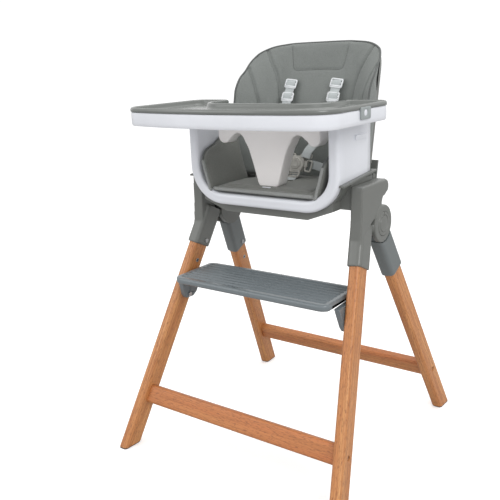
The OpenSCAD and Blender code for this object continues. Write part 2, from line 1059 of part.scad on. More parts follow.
module back_solid(inset, back, rear) {
    in_back_frame()
        intersection() {
            linear_extrude(back_h)
                mirror([0, 1, 0])
                    children();
            along_y(-200, 60)
                back_outline(inset);
            along_x(-far, far)
                bolster_outline(back, rear + 1);
        }
}

// Knuckles of the recline hinge, in from the ears
module back_knuckles(grow = 0) {
    for (side = [-1, 1])
        mirrored(side) {
            in_back_frame()
                box([ear_in - 21 - grow, -8 - grow, 3 - grow],
                    [ear_in - 3 + grow, pad_rear + fit_gap + back_skin + 1, 30 + grow]);
            translate([ear_in - 22 - grow, hinge_y, hinge_z])
                rotate([0, 90, 0])
                    cylinder(h = 20 + 2 * grow, r = 13 + grow);
        }
}

module back_cushion() {
    color(pad_colour)
    difference() {
        back_solid(0, 0, pad_rear)
            bucket_plan(back_half, -pad_rear, bucket_r, back_inner, pad_front, bucket_r - 30);
        back_knuckles(fit_gap);
    }
}

module back_shell() {
    rear = pad_rear + fit_gap;
    outer = rear + back_skin;
    color(grey_colour)
    difference() {
        union() {
            back_solid(5, 6, outer)
                bucket_plan(back_half + fit_gap + back_skin, -outer, bucket_r + fit_gap + back_skin,
                    back_half + fit_gap, -rear, bucket_r + fit_gap);
            in_back_frame() {
                for (x = [-90, 0, 90])
                    box([x - 5, outer - 1, 40], [x + 5, outer + 8, back_h - 60]);
                box([-ear_in + 2, rear, 12], [ear_in - 2, outer + 1, 62]);
            }
            back_knuckles();
        }
        for (side = [-1, 1])
            mirrored(side)
                translate([ear_in - 23, hinge_y, hinge_z])
                    rotate([0, 90, 0])
                        cylinder(h = 30, r = recline_pin_r + pin_gap);
        in_back_frame()
            box([-32, outer - 0.4, back_h - 131], [32, outer + 20, back_h - 89]);
    }
}

module recline_pins() {
    color(steel_colour)
    for (side = [-1, 1])
        mirrored(side)
            translate([ear_in, hinge_y, hinge_z])
                rotate([0, 90, 0]) {
                    translate([0, 0, -18])
                        cylinder(h = ear_out - ear_in + 19, r = recline_pin_r);
                    translate([0, 0, ear_out - ear_in + fit_gap])
                        cylinder(h = 2, r = 7);
                }
}

// Squeeze handle in a pocket on the back: it lifts to free the recline
module recline_handle() {
    rear = pad_rear + fit_gap;
    color(slate_colour)
    in_back_frame()
        difference() {
            box([-31, rear + 4.5, back_h - 130], [31, rear + 13, back_h - 104]);
            box([-24, rear + 8, back_h - 126], [24, rear + 20, back_h - 110]);
        }
}

// ---- Tray ----

// Outer outline of the tray, shrunk by inset
module tray_outline(inset) {
    bow_r = (pow(tray_w / 2, 2) + pow(tray_bow, 2)) / (2 * tray_bow);
    intersection() {
        union() {
            translate([0, (tray_front + tray_back) / 2])
                rounded_rect(tray_w - 2 * inset, tray_d - 2 * inset, 26);
            translate([0, tray_front + 110])
                rounded_rect(tray_w - 2 * inset, 220 - 2 * inset, 70 - inset);
        }
        translate([0, tray_front + bow_r])
            circle(bow_r - inset, $fn = 180);
        union() {
            translate([0, tray_front + 110])
                rounded_rect(tray_w - 2 * inset, 220 - 2 * inset, 70 - inset);
            translate([-tray_w, tray_front + 110])
                square([2 * tray_w, tray_d]);
        }
    }
}

// Cut-out for the child, grown by grow
module tray_notch(grow) {
    half = notch_w / 2 + grow;
    r = 62;
    translate([-half, tray_back - notch_d - grow + r])
        square([2 * half, notch_d + 100]);
    translate([-half + r, tray_back - notch_d - grow])
        square([2 * (half - r), r + 1]);
    for (x = [-1, 1])
        translate([x * (half - r), tray_back - notch_d - grow + r])
            circle(r);
}

module tray_area(inset) {
    difference() {
        tray_outline(inset);
        tray_notch(inset);
    }
}

module tray_ring(outer, inner) {
    difference() {
        tray_area(outer);
        tray_area(inner);
    }
}

module slab(z0, z1) {
    translate([0, 0, z0])
        linear_extrude(z1 - z0)
            children();
}

module tray_body() {
    arm_gap = 0.6;
    rail_reach = 60;
    color(white_colour)
    difference() {
        union() {
            slab(tray_z, band_top)
                tray_ring(0, 4);
            slab(deck_z, deck_z + deck_t)
                tray_area(2);
            for (side = [-1, 1])
                mirrored(side) {
                    box([inner_half - arm_gap - 3, tray_front + 60, deck_z - 16],
                        [inner_half - arm_gap, tray_back - 2, deck_z + 1]);
                    box([shell_half + arm_gap, tray_front + 60, deck_z - 16],
                        [shell_half + arm_gap + 3, tray_back - 2, deck_z + 1]);
                    box([inner_half + 4, tray_front + 70, shell_top + slide_gap],
                        [shell_half - 4, tray_back - 2, deck_z + 1]);
                }
        }
        for (side = [-1, 1])
            mirrored(side)
                box([inner_half - arm_gap, shell_front - rail_reach, 0],
                    [shell_half + arm_gap, tray_back + 5, shell_top + slide_gap]);
    }
}

module tray_insert() {
    clip_half = 21;
    color(slate_colour)
    difference() {
        union() {
            slab(insert_floor_z, insert_floor_z + 2.5)
                tray_area(6);
            slab(insert_floor_z, insert_top - 2)
                tray_ring(5, 10);
            slab(band_top + fit_gap, insert_top - 2)
                tray_ring(-1, 10);
            slab(insert_top - 3, insert_top)
                tray_ring(1, 8);
            for (side = [-1, 1])
                mirrored(side)
                    box([tray_w / 2 + fit_gap, clip_y - clip_half, band_top - 18],
                        [tray_w / 2 + 3.6, clip_y + clip_half, band_top + 3]);
        }
        for (side = [-1, 1])
            mirrored(side)
                for (z = [-2, 2])
                    translate([tray_w / 2 - 4, clip_y, band_top - 7 + z])
                        rotate([0, 90, 0])
                            cylinder(h = 12, r = 6);
    }
}

// ---- Crotch guard ----

module guard_outline() {
    top = guard_top;
    waist_z = guard_arm_z - 24;
    waist = guard_neck - 14;
    ankle = guard_foot + 5;
    polygon([
        [-guard_half, top], [guard_half, top], [guard_half, guard_arm_z], [guard_neck, guard_arm_z],
        [waist, waist_z], [ankle, guard_foot_z + 12], [guard_foot, guard_foot_z], [-guard_foot, guard_foot_z],
        [-ankle, guard_foot_z + 12], [-waist, waist_z], [-guard_neck, guard_arm_z], [-guard_half, guard_arm_z]
    ]);
}

module crotch_guard() {
    color("antiquewhite")
    difference() {
        union() {
            along_y(guard_y - guard_t / 2, guard_y + guard_t / 2)
                guard_outline();
            for (x = [-1, 1])
                translate([x * lobe_x, guard_y + guard_t / 2, lobe_z])
                    rotate([90, 0, 0])
                        cylinder(h = guard_t, r = lobe_r);
        }
        for (x = [-1, 1])
            translate([x * scoop_x, guard_y + guard_t, scoop_z])
                rotate([90, 0, 0])
                    cylinder(h = 2 * guard_t, r = scoop_r);
        box([-10, guard_y - 3.5, 0], [10, guard_y + 3.5, guard_foot_z + 16]);
    }
}

module guard_clip() {
    color(white_colour)
    difference() {
        union() {
            box([-9.7, guard_y - 3.2, floor_z - 14], [9.7, guard_y + 3.2, guard_foot_z + 15]);
            box([-13, guard_y - 5 + slide_gap, cushion_top + 0.3], [13, guard_y + 5 - slide_gap, guard_foot_z - 0.2]);
        }
        box([-4, guard_y - 10, floor_z - 10], [4, guard_y + 10, floor_z + 2]);
    }
}

// ---- Harness ----

strap_v = -pad_front - fit_gap - web_t;

module shoulder_strap() {
    color(webbing_colour)
    in_back_frame()
        box([strap_x - web_w / 2, strap_v, back_h - 140], [strap_x + web_w / 2, strap_v + web_t, back_h - 86]);
}

module shoulder_strap_left() { mirrored(-1) shoulder_strap(); }
module shoulder_strap_right() { shoulder_strap(); }

// Sliding bar adjuster: a rectangular frame with a cross bar
module strap_slide(w, h, t) {
    difference() {
        translate([0, 0, -t / 2])
            linear_extrude(t)
                rounded_rect(w, h, 3);
        for (y = [-1, 1])
            translate([0, y * h * 0.21, 0])
                cube([w - 8, h * 0.24, 2 * t], center = true);
    }
}

module strap_adjusters() {
    color(white_colour)
    in_back_frame()
        for (side = [-1, 1])
            mirrored(side)
                for (w = [back_h - 96, back_h - 134])
                    translate([strap_x, strap_v - 2.6, w])
                        rotate([90, 0, 0])
                            strap_slide(web_w + 8, 22, 4);
}

// A flat strap between two places: a thin block at each end, joined
module strap_run(from, to, turn, w) {
    hull() {
        translate(from)
            rotate(turn)
                cube([w, web_t, 0.5], center = true);
        translate(to)
            rotate(turn)
                cube([w, web_t, 0.5], center = true);
    }
}

lower_top = [strap_x, hinge_y - 19 + 42, hinge_z + 194];

module lower_strap() {
    color(webbing_colour)
    strap_run([lower_top[0], lower_top[1] - 8, lower_top[2]], [30, buckle_y + 18, buckle_z + 36], [-30, 0, 0], web_w);
}

module lower_strap_left() { mirrored(-1) lower_strap(); }
module lower_strap_right() { lower_strap(); }

module waist_strap() {
    color(webbing_colour)
    strap_run([120, hinge_y - 15, cushion_top + 15], [44, buckle_y + 8, buckle_z + 2], [0, 90, 20], web_w);
}

module waist_strap_left() { mirrored(-1) waist_strap(); }
module waist_strap_right() { waist_strap(); }

module at_buckle() {
    translate([0, buckle_y, buckle_z])
        rotate([-buckle_tilt, 0, 0])
            children();
}

module crotch_strap() {
    color(webbing_colour)
    strap_run([0, buckle_y - 26, cushion_top + 2.2], [0, buckle_y - 4, buckle_z - 22], [-59, 0, 0], web_w);
}

module crotch_adjuster() {
    color("tan")
    translate([0, buckle_y - 16.8, buckle_z - 25.7])
        rotate([31, 0, 0])
            strap_slide(web_w + 7, 16, 4);
}

buckle_t = 14;

module buckle() {
    color("tan")
    difference() {
        at_buckle()
            rotate([90, 0, 0])
                translate([0, 0, -buckle_t / 2])
                    linear_extrude(buckle_t)
                        rounded_rect(44, 40, 8);
        at_buckle() {
            rotate([90, 0, 0])
                translate([0, 0, buckle_t / 2 - 7])
                    cylinder(h = 20, r = 9 + 0.08);
            for (side = [-1, 1])
                mirrored(side)
                    box([14, -3, -9], [30, 3, 9]);
        }
    }
}

module buckle_button() {
    color("tan")
    at_buckle()
        rotate([90, 0, 0])
            translate([0, 0, buckle_t / 2 - 3.4])
                cylinder(h = 3.9, r = 9);
}

module buckle_tongues() {
    color("tan")
    at_buckle()
        for (side = [-1, 1])
            mirrored(side)
                difference() {
                    box([14.4, -2.6, -8.6], [46, 2.6, 8.6]);
                    box([33, -5, -6], [42, 5, 6]);
                }
}

front_leg_left();
front_leg_right();
front_stretcher();
front_foot_pads();
rear_leg_left();
rear_leg_right();
rear_stretcher();
rear_foot_pads();
front_stretcher_bolts();
rear_stretcher_bolts();
hub_left();
hub_right();
hub_cover_left();
hub_cover_right();
hub_cover_screws();
fold_pins();
fold_button_left();
fold_button_right();
rear_socket_left();
rear_socket_right();
front_socket_bolts();
rear_socket_bolts();
front_leg_eyelets();
rear_leg_eyelets();
footrest();
footrest_bracket_left();
footrest_bracket_right();
footrest_bolts();
seat_cradle();
cradle_bolts();
seat_shell();
seat_pan();
tray_release_left();
tray_release_right();
seat_cushion();
side_pad_left();
side_pad_right();
back_shell();
back_cushion();
recline_pins();
recline_handle();
tray_body();
tray_insert();
crotch_guard();
guard_clip();
shoulder_strap_left();
shoulder_strap_right();
strap_adjusters();
lower_strap_left();
lower_strap_right();
waist_strap_left();
waist_strap_right();
crotch_strap();
crotch_adjuster();
buckle();
buckle_tongues();
buckle_button();
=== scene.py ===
import math

import bmesh
import bpy
import numpy as np
from mathutils import Matrix, Vector
from mathutils.bvhtree import BVHTree
from mathutils.kdtree import KDTree


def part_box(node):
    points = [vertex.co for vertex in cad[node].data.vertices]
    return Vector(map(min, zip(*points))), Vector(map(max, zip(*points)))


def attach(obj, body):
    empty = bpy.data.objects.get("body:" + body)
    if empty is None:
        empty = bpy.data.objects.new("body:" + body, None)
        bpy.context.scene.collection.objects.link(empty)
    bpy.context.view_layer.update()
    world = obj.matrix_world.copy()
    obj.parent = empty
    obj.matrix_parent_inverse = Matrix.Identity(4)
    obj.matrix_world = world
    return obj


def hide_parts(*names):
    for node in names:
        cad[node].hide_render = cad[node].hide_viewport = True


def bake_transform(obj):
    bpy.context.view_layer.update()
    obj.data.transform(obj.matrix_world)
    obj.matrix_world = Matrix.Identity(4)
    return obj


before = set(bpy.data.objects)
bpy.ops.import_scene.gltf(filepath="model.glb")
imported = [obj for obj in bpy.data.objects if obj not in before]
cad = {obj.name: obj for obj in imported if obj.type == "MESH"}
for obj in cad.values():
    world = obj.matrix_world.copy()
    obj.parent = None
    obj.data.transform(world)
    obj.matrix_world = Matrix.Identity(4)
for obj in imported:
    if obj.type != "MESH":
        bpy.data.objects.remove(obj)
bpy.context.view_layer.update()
scene = bpy.context.scene


# ---- Legs and stretchers ----
# Solid beech, planed with rounded long edges and oiled. The grain runs along each piece,
# and the short dark flecks are the wood's rays. Stretchers are let into the legs and bolted.

def shader(name, rough, metal=0.0, coat=0.0, sheen=0.0):
    m = bpy.data.materials.new(name)
    m.use_nodes = True
    b = m.node_tree.nodes["Principled BSDF"]
    b.inputs["Roughness"].default_value = rough
    b.inputs["Metallic"].default_value = metal
    b.inputs["Coat Weight"].default_value = coat
    b.inputs["Coat Roughness"].default_value = 0.25
    b.inputs["Sheen Weight"].default_value = sheen
    b.inputs["Sheen Roughness"].default_value = 0.6
    return m, m.node_tree, b


def add(t, kind, values=None, **settings):
    n = t.nodes.new(kind)
    for k, v in settings.items():
        setattr(n, k, v)
    for k, v in (values or {}).items():
        n.inputs[k].default_value = v
    return n


def noise(t, coords, scale, detail=3.0, rough=0.5, warp=0.0):
    n = add(t, "ShaderNodeTexNoise",
            {"Scale": scale, "Detail": detail, "Roughness": rough, "Distortion": warp})
    t.links.new(coords, n.inputs["Vector"])
    return n.outputs["Fac"]


def stretched(t, coords, scale=(1, 1, 1), turn=(0, 0, 0)):
    n = add(t, "ShaderNodeMapping", {"Scale": scale, "Rotation": turn})
    t.links.new(coords, n.inputs["Vector"])
    return n.outputs["Vector"]


def between(t, value, low, high, to_low=0.0, to_high=1.0):
    n = add(t, "ShaderNodeMapRange", {"From Min": low, "From Max": high, "To Min": to_low, "To Max": to_high})
    t.links.new(value, n.inputs["Value"])
    return n.outputs["Result"]


def blended(t, share, a, b):
    n = add(t, "ShaderNodeMix", data_type="RGBA")
    t.links.new(share, n.inputs["Factor"])
    for socket, c in ((n.inputs[6], a), (n.inputs[7], b)):
        if isinstance(c, tuple):
            socket.default_value = (*c, 1)
        else:
            t.links.new(c, socket)
    return n.outputs[2]


def raised(t, b, height, strength, depth):
    n = add(t, "ShaderNodeBump", {"Strength": strength, "Distance": depth})
    t.links.new(height, n.inputs["Height"])
    t.links.new(n.outputs["Normal"], b.inputs["Normal"])


def object_coords(t):
    return add(t, "ShaderNodeTexCoord").outputs["Object"]


def darker(colour, share):
    return tuple(c * share for c in colour)


BEECH = (0.68, 0.335, 0.128)


def beech(name, along, deep=1.0):
    m, t, b = shader(name, 0.42, coat=0.12)
    turn = Vector(along).rotation_difference(Vector((0, 0, 1))).to_euler()
    grain = stretched(t, object_coords(t), turn=turn)
    broad = noise(t, stretched(t, grain, (34, 34, 1.7)), 1, 3, 0.5, 0.7)
    fine = noise(t, stretched(t, grain, (330, 330, 7)), 1, 4, 0.6, 0.2)
    fleck = noise(t, stretched(t, grain, (700, 700, 95)), 1, 1, 0.5)
    light = (BEECH[0] * deep ** 0.5, BEECH[1] * deep, BEECH[2] * deep ** 1.6)
    base = blended(t, between(t, broad, 0.3, 0.7), light, (0.52, 0.20 * deep, 0.062 * deep))
    lined = blended(t, between(t, fine, 0.42, 0.62, 0.0, 0.75), base, (0.41, 0.145, 0.045))
    colour = blended(t, between(t, fleck, 0.56, 0.66, 0.0, 0.7), lined, (0.25, 0.085, 0.032))
    t.links.new(colour, b.inputs["Base Color"])
    t.links.new(between(t, fine, 0.3, 0.8, 0.36, 0.52), b.inputs["Roughness"])
    raised(t, b, fine, 0.25, 0.0004)
    return m


def leaned(degrees):
    return Matrix.Rotation(math.radians(degrees), 4, "X")


def dressed(node, skin, edge=0.0008, angle=32):
    """Gives a carried-over node its finish and fine rounded edges."""
    o = cad[node]
    o.data.materials.clear()
    o.data.materials.append(skin)
    if "custom_normal" in o.data.attributes:
        o.data.attributes.remove(o.data.attributes["custom_normal"])
    o.data.polygons.foreach_set("use_smooth", [True] * len(o.data.polygons))
    o.modifiers.new("joined", "WELD").merge_threshold = 1e-6
    if edge:
        bevel = o.modifiers.new("edges", "BEVEL")
        bevel.width = edge
        bevel.segments = 2
        bevel.limit_method = "ANGLE"
        bevel.angle_limit = math.radians(angle)
        bevel.harden_normals = True
    return o


front_lean, rear_lean = -25.5, 26.01
front_splay, rear_splay = -7.56, -6.46
front_place = (Matrix.Translation((0, -0.303, 0)) @ leaned(front_lean) @ Matrix.Translation((0.29489, 0, 0))
               @ Matrix.Rotation(math.radians(front_splay), 4, "Y"))
rear_place = (Matrix.Translation((0, 0.303, 0)) @ leaned(rear_lean) @ Matrix.Translation((0.28292, 0, 0))
              @ Matrix.Rotation(math.radians(rear_splay), 4, "Y"))
for place, legs in ((front_place, "front"), (rear_place, "rear")):
    up = place.to_3x3() @ Vector((0, 0, 1))
    dressed(legs + "_leg_right", beech(legs + "_right_beech", up), 0.0005)
    dressed(legs + "_leg_left", beech(legs + "_left_beech", (-up.x, up.y, up.z)), 0.0005)
    dressed(legs + "_stretcher", beech(legs + "_bar_beech", (1, 0, 0), 0.80), 0.0005)


# ---- Feet, bolts and eyelets ----
# Thin dark rubber pads under the feet. Zinc plated socket screws hold the stretchers and
# sockets, and the spare threaded eyelets show as bright rings in the legs' inner faces.

def rubber(name):
    m, t, b = shader(name, 0.85)
    c = object_coords(t)
    colour = blended(t, noise(t, c, 60, 4), (0.035, 0.036, 0.036), (0.075, 0.073, 0.07))
    t.links.new(colour, b.inputs["Base Color"])
    raised(t, b, noise(t, c, 900, 2), 0.3, 0.0003)
    return m


def steel(name):
    m, t, b = shader(name, 0.33, metal=1.0)
    c = object_coords(t)
    colour = blended(t, noise(t, c, 120, 4), (0.62, 0.63, 0.64), (0.45, 0.455, 0.46))
    t.links.new(colour, b.inputs["Base Color"])
    lines = noise(t, stretched(t, c, (1, 1, 14)), 240, 3)
    t.links.new(between(t, lines, 0.3, 0.7, 0.24, 0.5), b.inputs["Roughness"])
    raised(t, b, noise(t, stretched(t, c, (1, 1, 14)), 900, 2), 0.15, 0.0001)
    return m


pad_rubber = rubber("pad_rubber")
zinc = steel("zinc")
for n in ("front_foot_pads", "rear_foot_pads"):
    dressed(n, pad_rubber, 0.0004)
for n in ("front_stretcher_bolts", "rear_stretcher_bolts", "front_socket_bolts",
          "rear_socket_bolts", "front_leg_eyelets", "rear_leg_eyelets", "hub_cover_screws",
          "fold_pins", "footrest_bolts", "cradle_bolts", "recline_pins"):
    dressed(n, zinc, 0.0003)


# ---- Hubs ----
# Thick grey nylon mouldings with large soft corners: the front leg's socket, a column and a
# rounded head. The disc of the fold joint stands out at the back, with a button in its middle.

def moulded_plastic(name, colour, rough, coat=0.0, grit=0.10, wear=0.5):
    m, t, b = shader(name, rough, coat=coat)
    c = object_coords(t)
    cloud = noise(t, c, 7, 4, 0.55)
    scuff = noise(t, c, 420, 5, 0.75, 0.3)
    tone = blended(t, between(t, cloud, 0.3, 0.7), darker(colour, 0.96), darker(colour, 1.03))
    marks = between(t, scuff, 0.66, 0.80, 0.0, 0.14 * wear)
    worn = tuple(min(1, v * 1.5 + 0.04) for v in colour)
    t.links.new(blended(t, marks, tone, worn), b.inputs["Base Color"])
    t.links.new(between(t, cloud, 0.35, 0.7, rough - 0.03, rough + 0.05), b.inputs["Roughness"])
    raised(t, b, noise(t, c, 1500, 2, 0.6), grit, 0.00012)
    return m


def solid(name, verts, faces):
    """A closed mesh object with its normals outwards."""
    mesh = bpy.data.meshes.new(name)
    mesh.from_pydata([tuple(v) for v in verts], [], faces)
    b = bmesh.new()
    b.from_mesh(mesh)
    bmesh.ops.recalc_face_normals(b, faces=b.faces)
    b.to_mesh(mesh)
    b.free()
    o = bpy.data.objects.new(name, mesh)
    scene.collection.objects.link(o)
    return o


def loft(rings, capped=True, round_trip=False):
    """Faces between closed rings of the same number of points."""
    k, n = len(rings), len(rings[0])
    verts = [p for r in rings for p in r]
    faces = []
    for i in range(k if round_trip else k - 1):
        for j in range(n):
            a, b = i * n, ((i + 1) % k) * n
            faces.append((a + j, a + (j + 1) % n, b + (j + 1) % n, b + j))
    if capped and not round_trip:
        faces += [tuple(range(n))[::-1], tuple((k - 1) * n + j for j in range(n))]
    return verts, faces


def prism(outline, low, high, place):
    rings = [[place @ Vector((x, y, h)) for x, y in outline] for h in (low, high)]
    return loft(rings)


def arc(cx, cy, r, a0, a1, steps=12):
    return [(cx + r * math.cos(math.radians(a0 + (a1 - a0) * i / steps)),
             cy + r * math.sin(math.radians(a0 + (a1 - a0) * i / steps))) for i in range(steps + 1)]


def circle(cx, cy, r, steps=48):
    return arc(cx, cy, r, 0, 360 - 360 / steps, steps - 1)


def rounded(w, d, r, cx=0.0, cy=0.0):
    points = []
    for sx, sy, a in ((1, 1, 0), (-1, 1, 90), (-1, -1, 180), (1, -1, 270)):
        points += arc(cx + sx * (w / 2 - r), cy + sy * (d / 2 - r), r, a, a + 90, 6)
    return points


def one_mesh(name, parts):
    verts, faces = [], []
    for v, f in parts:
        faces += [tuple(i + len(verts) for i in face) for face in f]
        verts += list(v)
    return solid(name, verts, faces)


def settled(o, crease=None):
    """Applies the modifiers, and shades smoothly with sharp edges past the crease angle."""
    mesh = bpy.data.meshes.new_from_object(o.evaluated_get(bpy.context.evaluated_depsgraph_get()))
    mesh.name = o.name
    o.modifiers.clear()
    o.data = mesh
    mesh.polygons.foreach_set("use_smooth", [True] * len(mesh.polygons))
    if crease:
        mesh.set_sharp_from_angle(angle=math.radians(crease))
    return o


def fused(name, parts, voxel, rounds):
    """Runs overlapping solids together and rounds every edge, as a moulding is."""
    o = one_mesh(name, parts)
    r = o.modifiers.new("run", "REMESH")
    r.mode = "VOXEL"
    r.voxel_size = voxel
    s = o.modifiers.new("round", "SMOOTH")
    s.factor = 0.5
    s.iterations = rounds
    return settled(o)


def cut(o, *parts):
    cutter = one_mesh("cutter", parts)
    m = o.modifiers.new("cut", "BOOLEAN")
    m.operation = "DIFFERENCE"
    m.solver = "EXACT"
    m.object = cutter
    bpy.context.view_layer.update()
    settled(o, 35)
    bpy.data.objects.remove(cutter)
    return o


def mirrored(o, name):
    mesh = o.data.copy()
    mesh.transform(Matrix.Scale(-1, 4, (1, 0, 0)))
    mesh.flip_normals()
    twin = bpy.data.objects.new(name, mesh)
    scene.collection.objects.link(twin)
    return twin


def made(o, skin, slot, body, *stands_for):
    o.data.materials.clear()
    o.data.materials.append(skin)
    if body:
        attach(o, body)
    if stands_for:
        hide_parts(*stands_for)
    return o


grey = moulded_plastic("grey_nylon", (0.155, 0.160, 0.149), 0.33, coat=0.1)
side_view = Matrix(((0, 0, 1, 0), (1, 0, 0, 0), (0, 1, 0, 0), (0, 0, 0, 1)))
pivot_y, pivot_z = 0.0317, 0.556
at_pivot = Matrix.Translation((0, pivot_y, pivot_z)) @ side_view
head = ([(-0.0778, 0.534), (-0.0735, 0.585), (-0.0715, 0.648)] + arc(-0.0645, 0.648, 0.007, 180, 90, 4)
        + [(0.044, 0.655)] + arc(0.044, 0.6385, 0.0165, 80, -50, 10)
        + arc(0.046, 0.603, 0.0195, 60, 230, 10)[3:]
        + [(0.0237, 0.5935), (-0.0278, 0.566)])
socket_from, socket_to = 0.5344, 0.6354
hub = fused("hub_right_moulding", [
    prism(rounded(0.034, 0.056, 0.009), socket_from, socket_to, front_place),
    prism(head, 0.2040, 0.2322, side_view),
    prism(circle(0, 0, 0.0432), 0.2224, 0.2342, at_pivot),
    prism(rounded(0.034, 0.050, 0.012, -0.050, 0.590), 0.2045, 0.2310, side_view),
], 0.0018, 16)
cut(hub, prism(circle(0, 0, 0.0335), 0.18, 0.2222, at_pivot),
    prism(circle(0, 0, 0.0284, 72), 0.2274, 0.25, at_pivot))
twin = mirrored(hub, "hub_left_moulding")
made(hub, grey, "grey_plastic", "frame", "hub_right")
made(twin, grey, "grey_plastic", "frame", "hub_left")
for n in ("hub_cover_left", "hub_cover_right"):
    dressed(n, grey, 0.0012)


def turned(profile, place, steps=72):
    """A round solid from (radius, height) pairs, about the local Z axis."""
    turns = [2 * math.pi * j / steps for j in range(steps)]
    rings = [[place @ Vector((r * math.cos(a), r * math.sin(a), h)) for a in turns]
             for r, h in profile]
    return loft(rings)


face = 0.2352
button = one_mesh("fold_button_right_cap", [turned([
    (0.020, face - 0.0042), (0.0276, face - 0.0042), (0.0278, face - 0.0016),
    (0.0270, face - 0.0004), (0.0258, face), (0.0205, face + 0.0002),
    (0.0198, face - 0.0008), (0.0190, face - 0.0008), (0.0183, face + 0.0003),
    (0.0100, face + 0.0009), (0.0010, face + 0.0011)], at_pivot)])
cut(button, prism(rounded(0.0022, 0.010, 0.001, 0.0, 0.0235), 0.2335, 0.24, at_pivot))
twin = mirrored(button, "fold_button_left_cap")
made(button, grey, "grey_plastic", "fold_button_right", "fold_button_right")
made(twin, grey, "grey_plastic", "fold_button_left", "fold_button_left")


# ---- Rear sockets ----
# The same nylon, on the rear legs. The socket's top is hollowed to clear the hub's disc,
# and its tongue turns between the hub and its cover on the fold pin.

rear_from, rear_to = 0.4851, 0.6226
socket = fused("rear_socket_right_moulding", [
    prism(rounded(0.034, 0.056, 0.009), rear_from, rear_to - 0.012, rear_place)], 0.0018, 6)
cut(socket, prism(circle(0, 0, 0.0445, 72), 0.0, 0.4, at_pivot))
tongue = one_mesh("tongue", [
    prism(circle(0, 0, 0.0328), 0.2042, 0.2220, at_pivot),
    prism([(-0.0255, -0.0500), (0.0255, -0.0500), (0.0255, 0.0), (-0.0255, 0.0)], 0.2042, 0.2220,
          at_pivot @ Matrix.Rotation(math.radians(rear_lean), 4, "Z")),
])
joined = bmesh.new()
joined.from_mesh(socket.data)
joined.from_mesh(tongue.data)
joined.to_mesh(socket.data)
joined.free()
bpy.data.objects.remove(tongue)
socket.data.polygons.foreach_set("use_smooth", [True] * len(socket.data.polygons))
socket.data.set_sharp_from_angle(angle=math.radians(38))
blue_grey = moulded_plastic("blue_grey_nylon", (0.150, 0.166, 0.168), 0.38)
twin = mirrored(socket, "rear_socket_left_moulding")
made(socket, blue_grey, "grey_plastic", "rear_frame", "rear_socket_right")
made(twin, blue_grey, "grey_plastic", "rear_frame", "rear_socket_left")


# ---- Footrest ----
# One slate grey moulding with a thick rolled edge and eight long ribs for grip. It stands on
# two gusset brackets, each bolted to the inner face of a front leg.

slate = moulded_plastic("slate_nylon", (0.165, 0.190, 0.203), 0.27, coat=0.2, wear=0.9)
y_front, y_back, z_top, thick = -0.1920, -0.0420, 0.4240, 0.0150
half_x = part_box("footrest")[1].x
corner, first_rib, rib_pitch, rib_depth = 0.024, 0.014, 0.0155, 0.0034


def footrest_ring(x):
    from_end = max(0.0, half_x - abs(x))
    pull = 0.0
    if from_end < corner:
        pull = corner - math.sqrt(max(0.0, corner ** 2 - max(0.0, corner - from_end) ** 2))
    a, b = y_front + pull, y_back - pull
    drop = 0.006 * max(0.0, 1 - from_end / 0.006) ** 2
    fade = min(1.0, max(0.0, (from_end - 0.012) / 0.006))
    fade = fade * fade * (3 - 2 * fade)
    top, low, roll = z_top - drop, z_top - thick + drop * 0.6, 0.0055
    under, over = np.linspace(0, math.pi / 2, 5), np.linspace(0, math.pi / 2, 7)
    ring = [(x, a + roll * (1 - math.cos(t)), low + roll - roll * math.sin(t)) for t in under[::-1]]
    ring += [(x, a + roll * (1 - math.cos(t)), top - roll + roll * math.sin(t)) for t in over]
    for y in np.linspace(a + roll + 0.001, b - roll - 0.001, 150):
        s = (y - y_front - first_rib) / rib_pitch
        wave = 0.5 - 0.5 * math.cos(2 * math.pi * (s % 1.0)) if 0 <= s <= 8 else 0.0
        ring.append((x, y, top - rib_depth * fade * wave ** 0.8))
    ring += [(x, b - roll * (1 - math.cos(t)), top - roll + roll * math.sin(t)) for t in over[::-1]]
    ring += [(x, b - roll * (1 - math.cos(t)), low + roll - roll * math.sin(t)) for t in under]
    return [Vector(p) for p in ring]


ends = [half_x - 0.024 * (1 - math.sin(a)) for a in np.linspace(0, math.pi / 2, 18)]
stations = [-e for e in ends[::-1]] + list(np.linspace(-half_x + 0.026, half_x - 0.026, 9)) + ends
footrest = one_mesh("footrest_moulding", [loft([footrest_ring(x) for x in stations])])
settled(footrest, 60)
made(footrest, slate, "slate_plastic", "frame", "footrest")
for n in ("footrest_bracket_left", "footrest_bracket_right"):
    dressed(n, slate, 0.002)


# ---- Seat base, shelf and back panel ----
# Grey nylon trays that carry the seat shell. The base has a turned flange along its top, a
# ribbed underside and two ears for the recline hinge. The back panel has three ribs.

for n in ("seat_cradle", "seat_pan", "back_shell"):
    dressed(n, grey, 0.0014)
dressed("recline_handle", slate, 0.0012)


# ---- Seat shell ----
# Glossy white polypropylene, a deep U with a thick rolled rim that faces the front. The side
# walls run back from the rim, with a pale tray release paddle in each.

white = moulded_plastic("white_gloss", (0.76, 0.775, 0.82), 0.22, coat=0.35, grit=0.03, wear=0.35)
shell_half, shell_low, shell_top, shell_r = 0.2000, 0.5970, 0.8050, 0.0880
shell_front, shell_back, rim = -0.1160, 0.0320, 0.0260

outer_path = [((shell_half, z), (-1, 0)) for z in np.linspace(shell_top, shell_low + shell_r, 9)]
outer_path += [((shell_half - shell_r + shell_r * math.cos(a), shell_low + shell_r + shell_r * math.sin(a)),
                (-math.cos(a), -math.sin(a))) for a in np.linspace(0, -math.pi / 2, 29)[1:]]
outer_path += [((x, shell_low), (0, 1)) for x in np.linspace(shell_half - shell_r, 0, 7)[1:]]
outer_path += [((-p[0], p[1]), (-d[0], d[1])) for p, d in outer_path[-2::-1]]


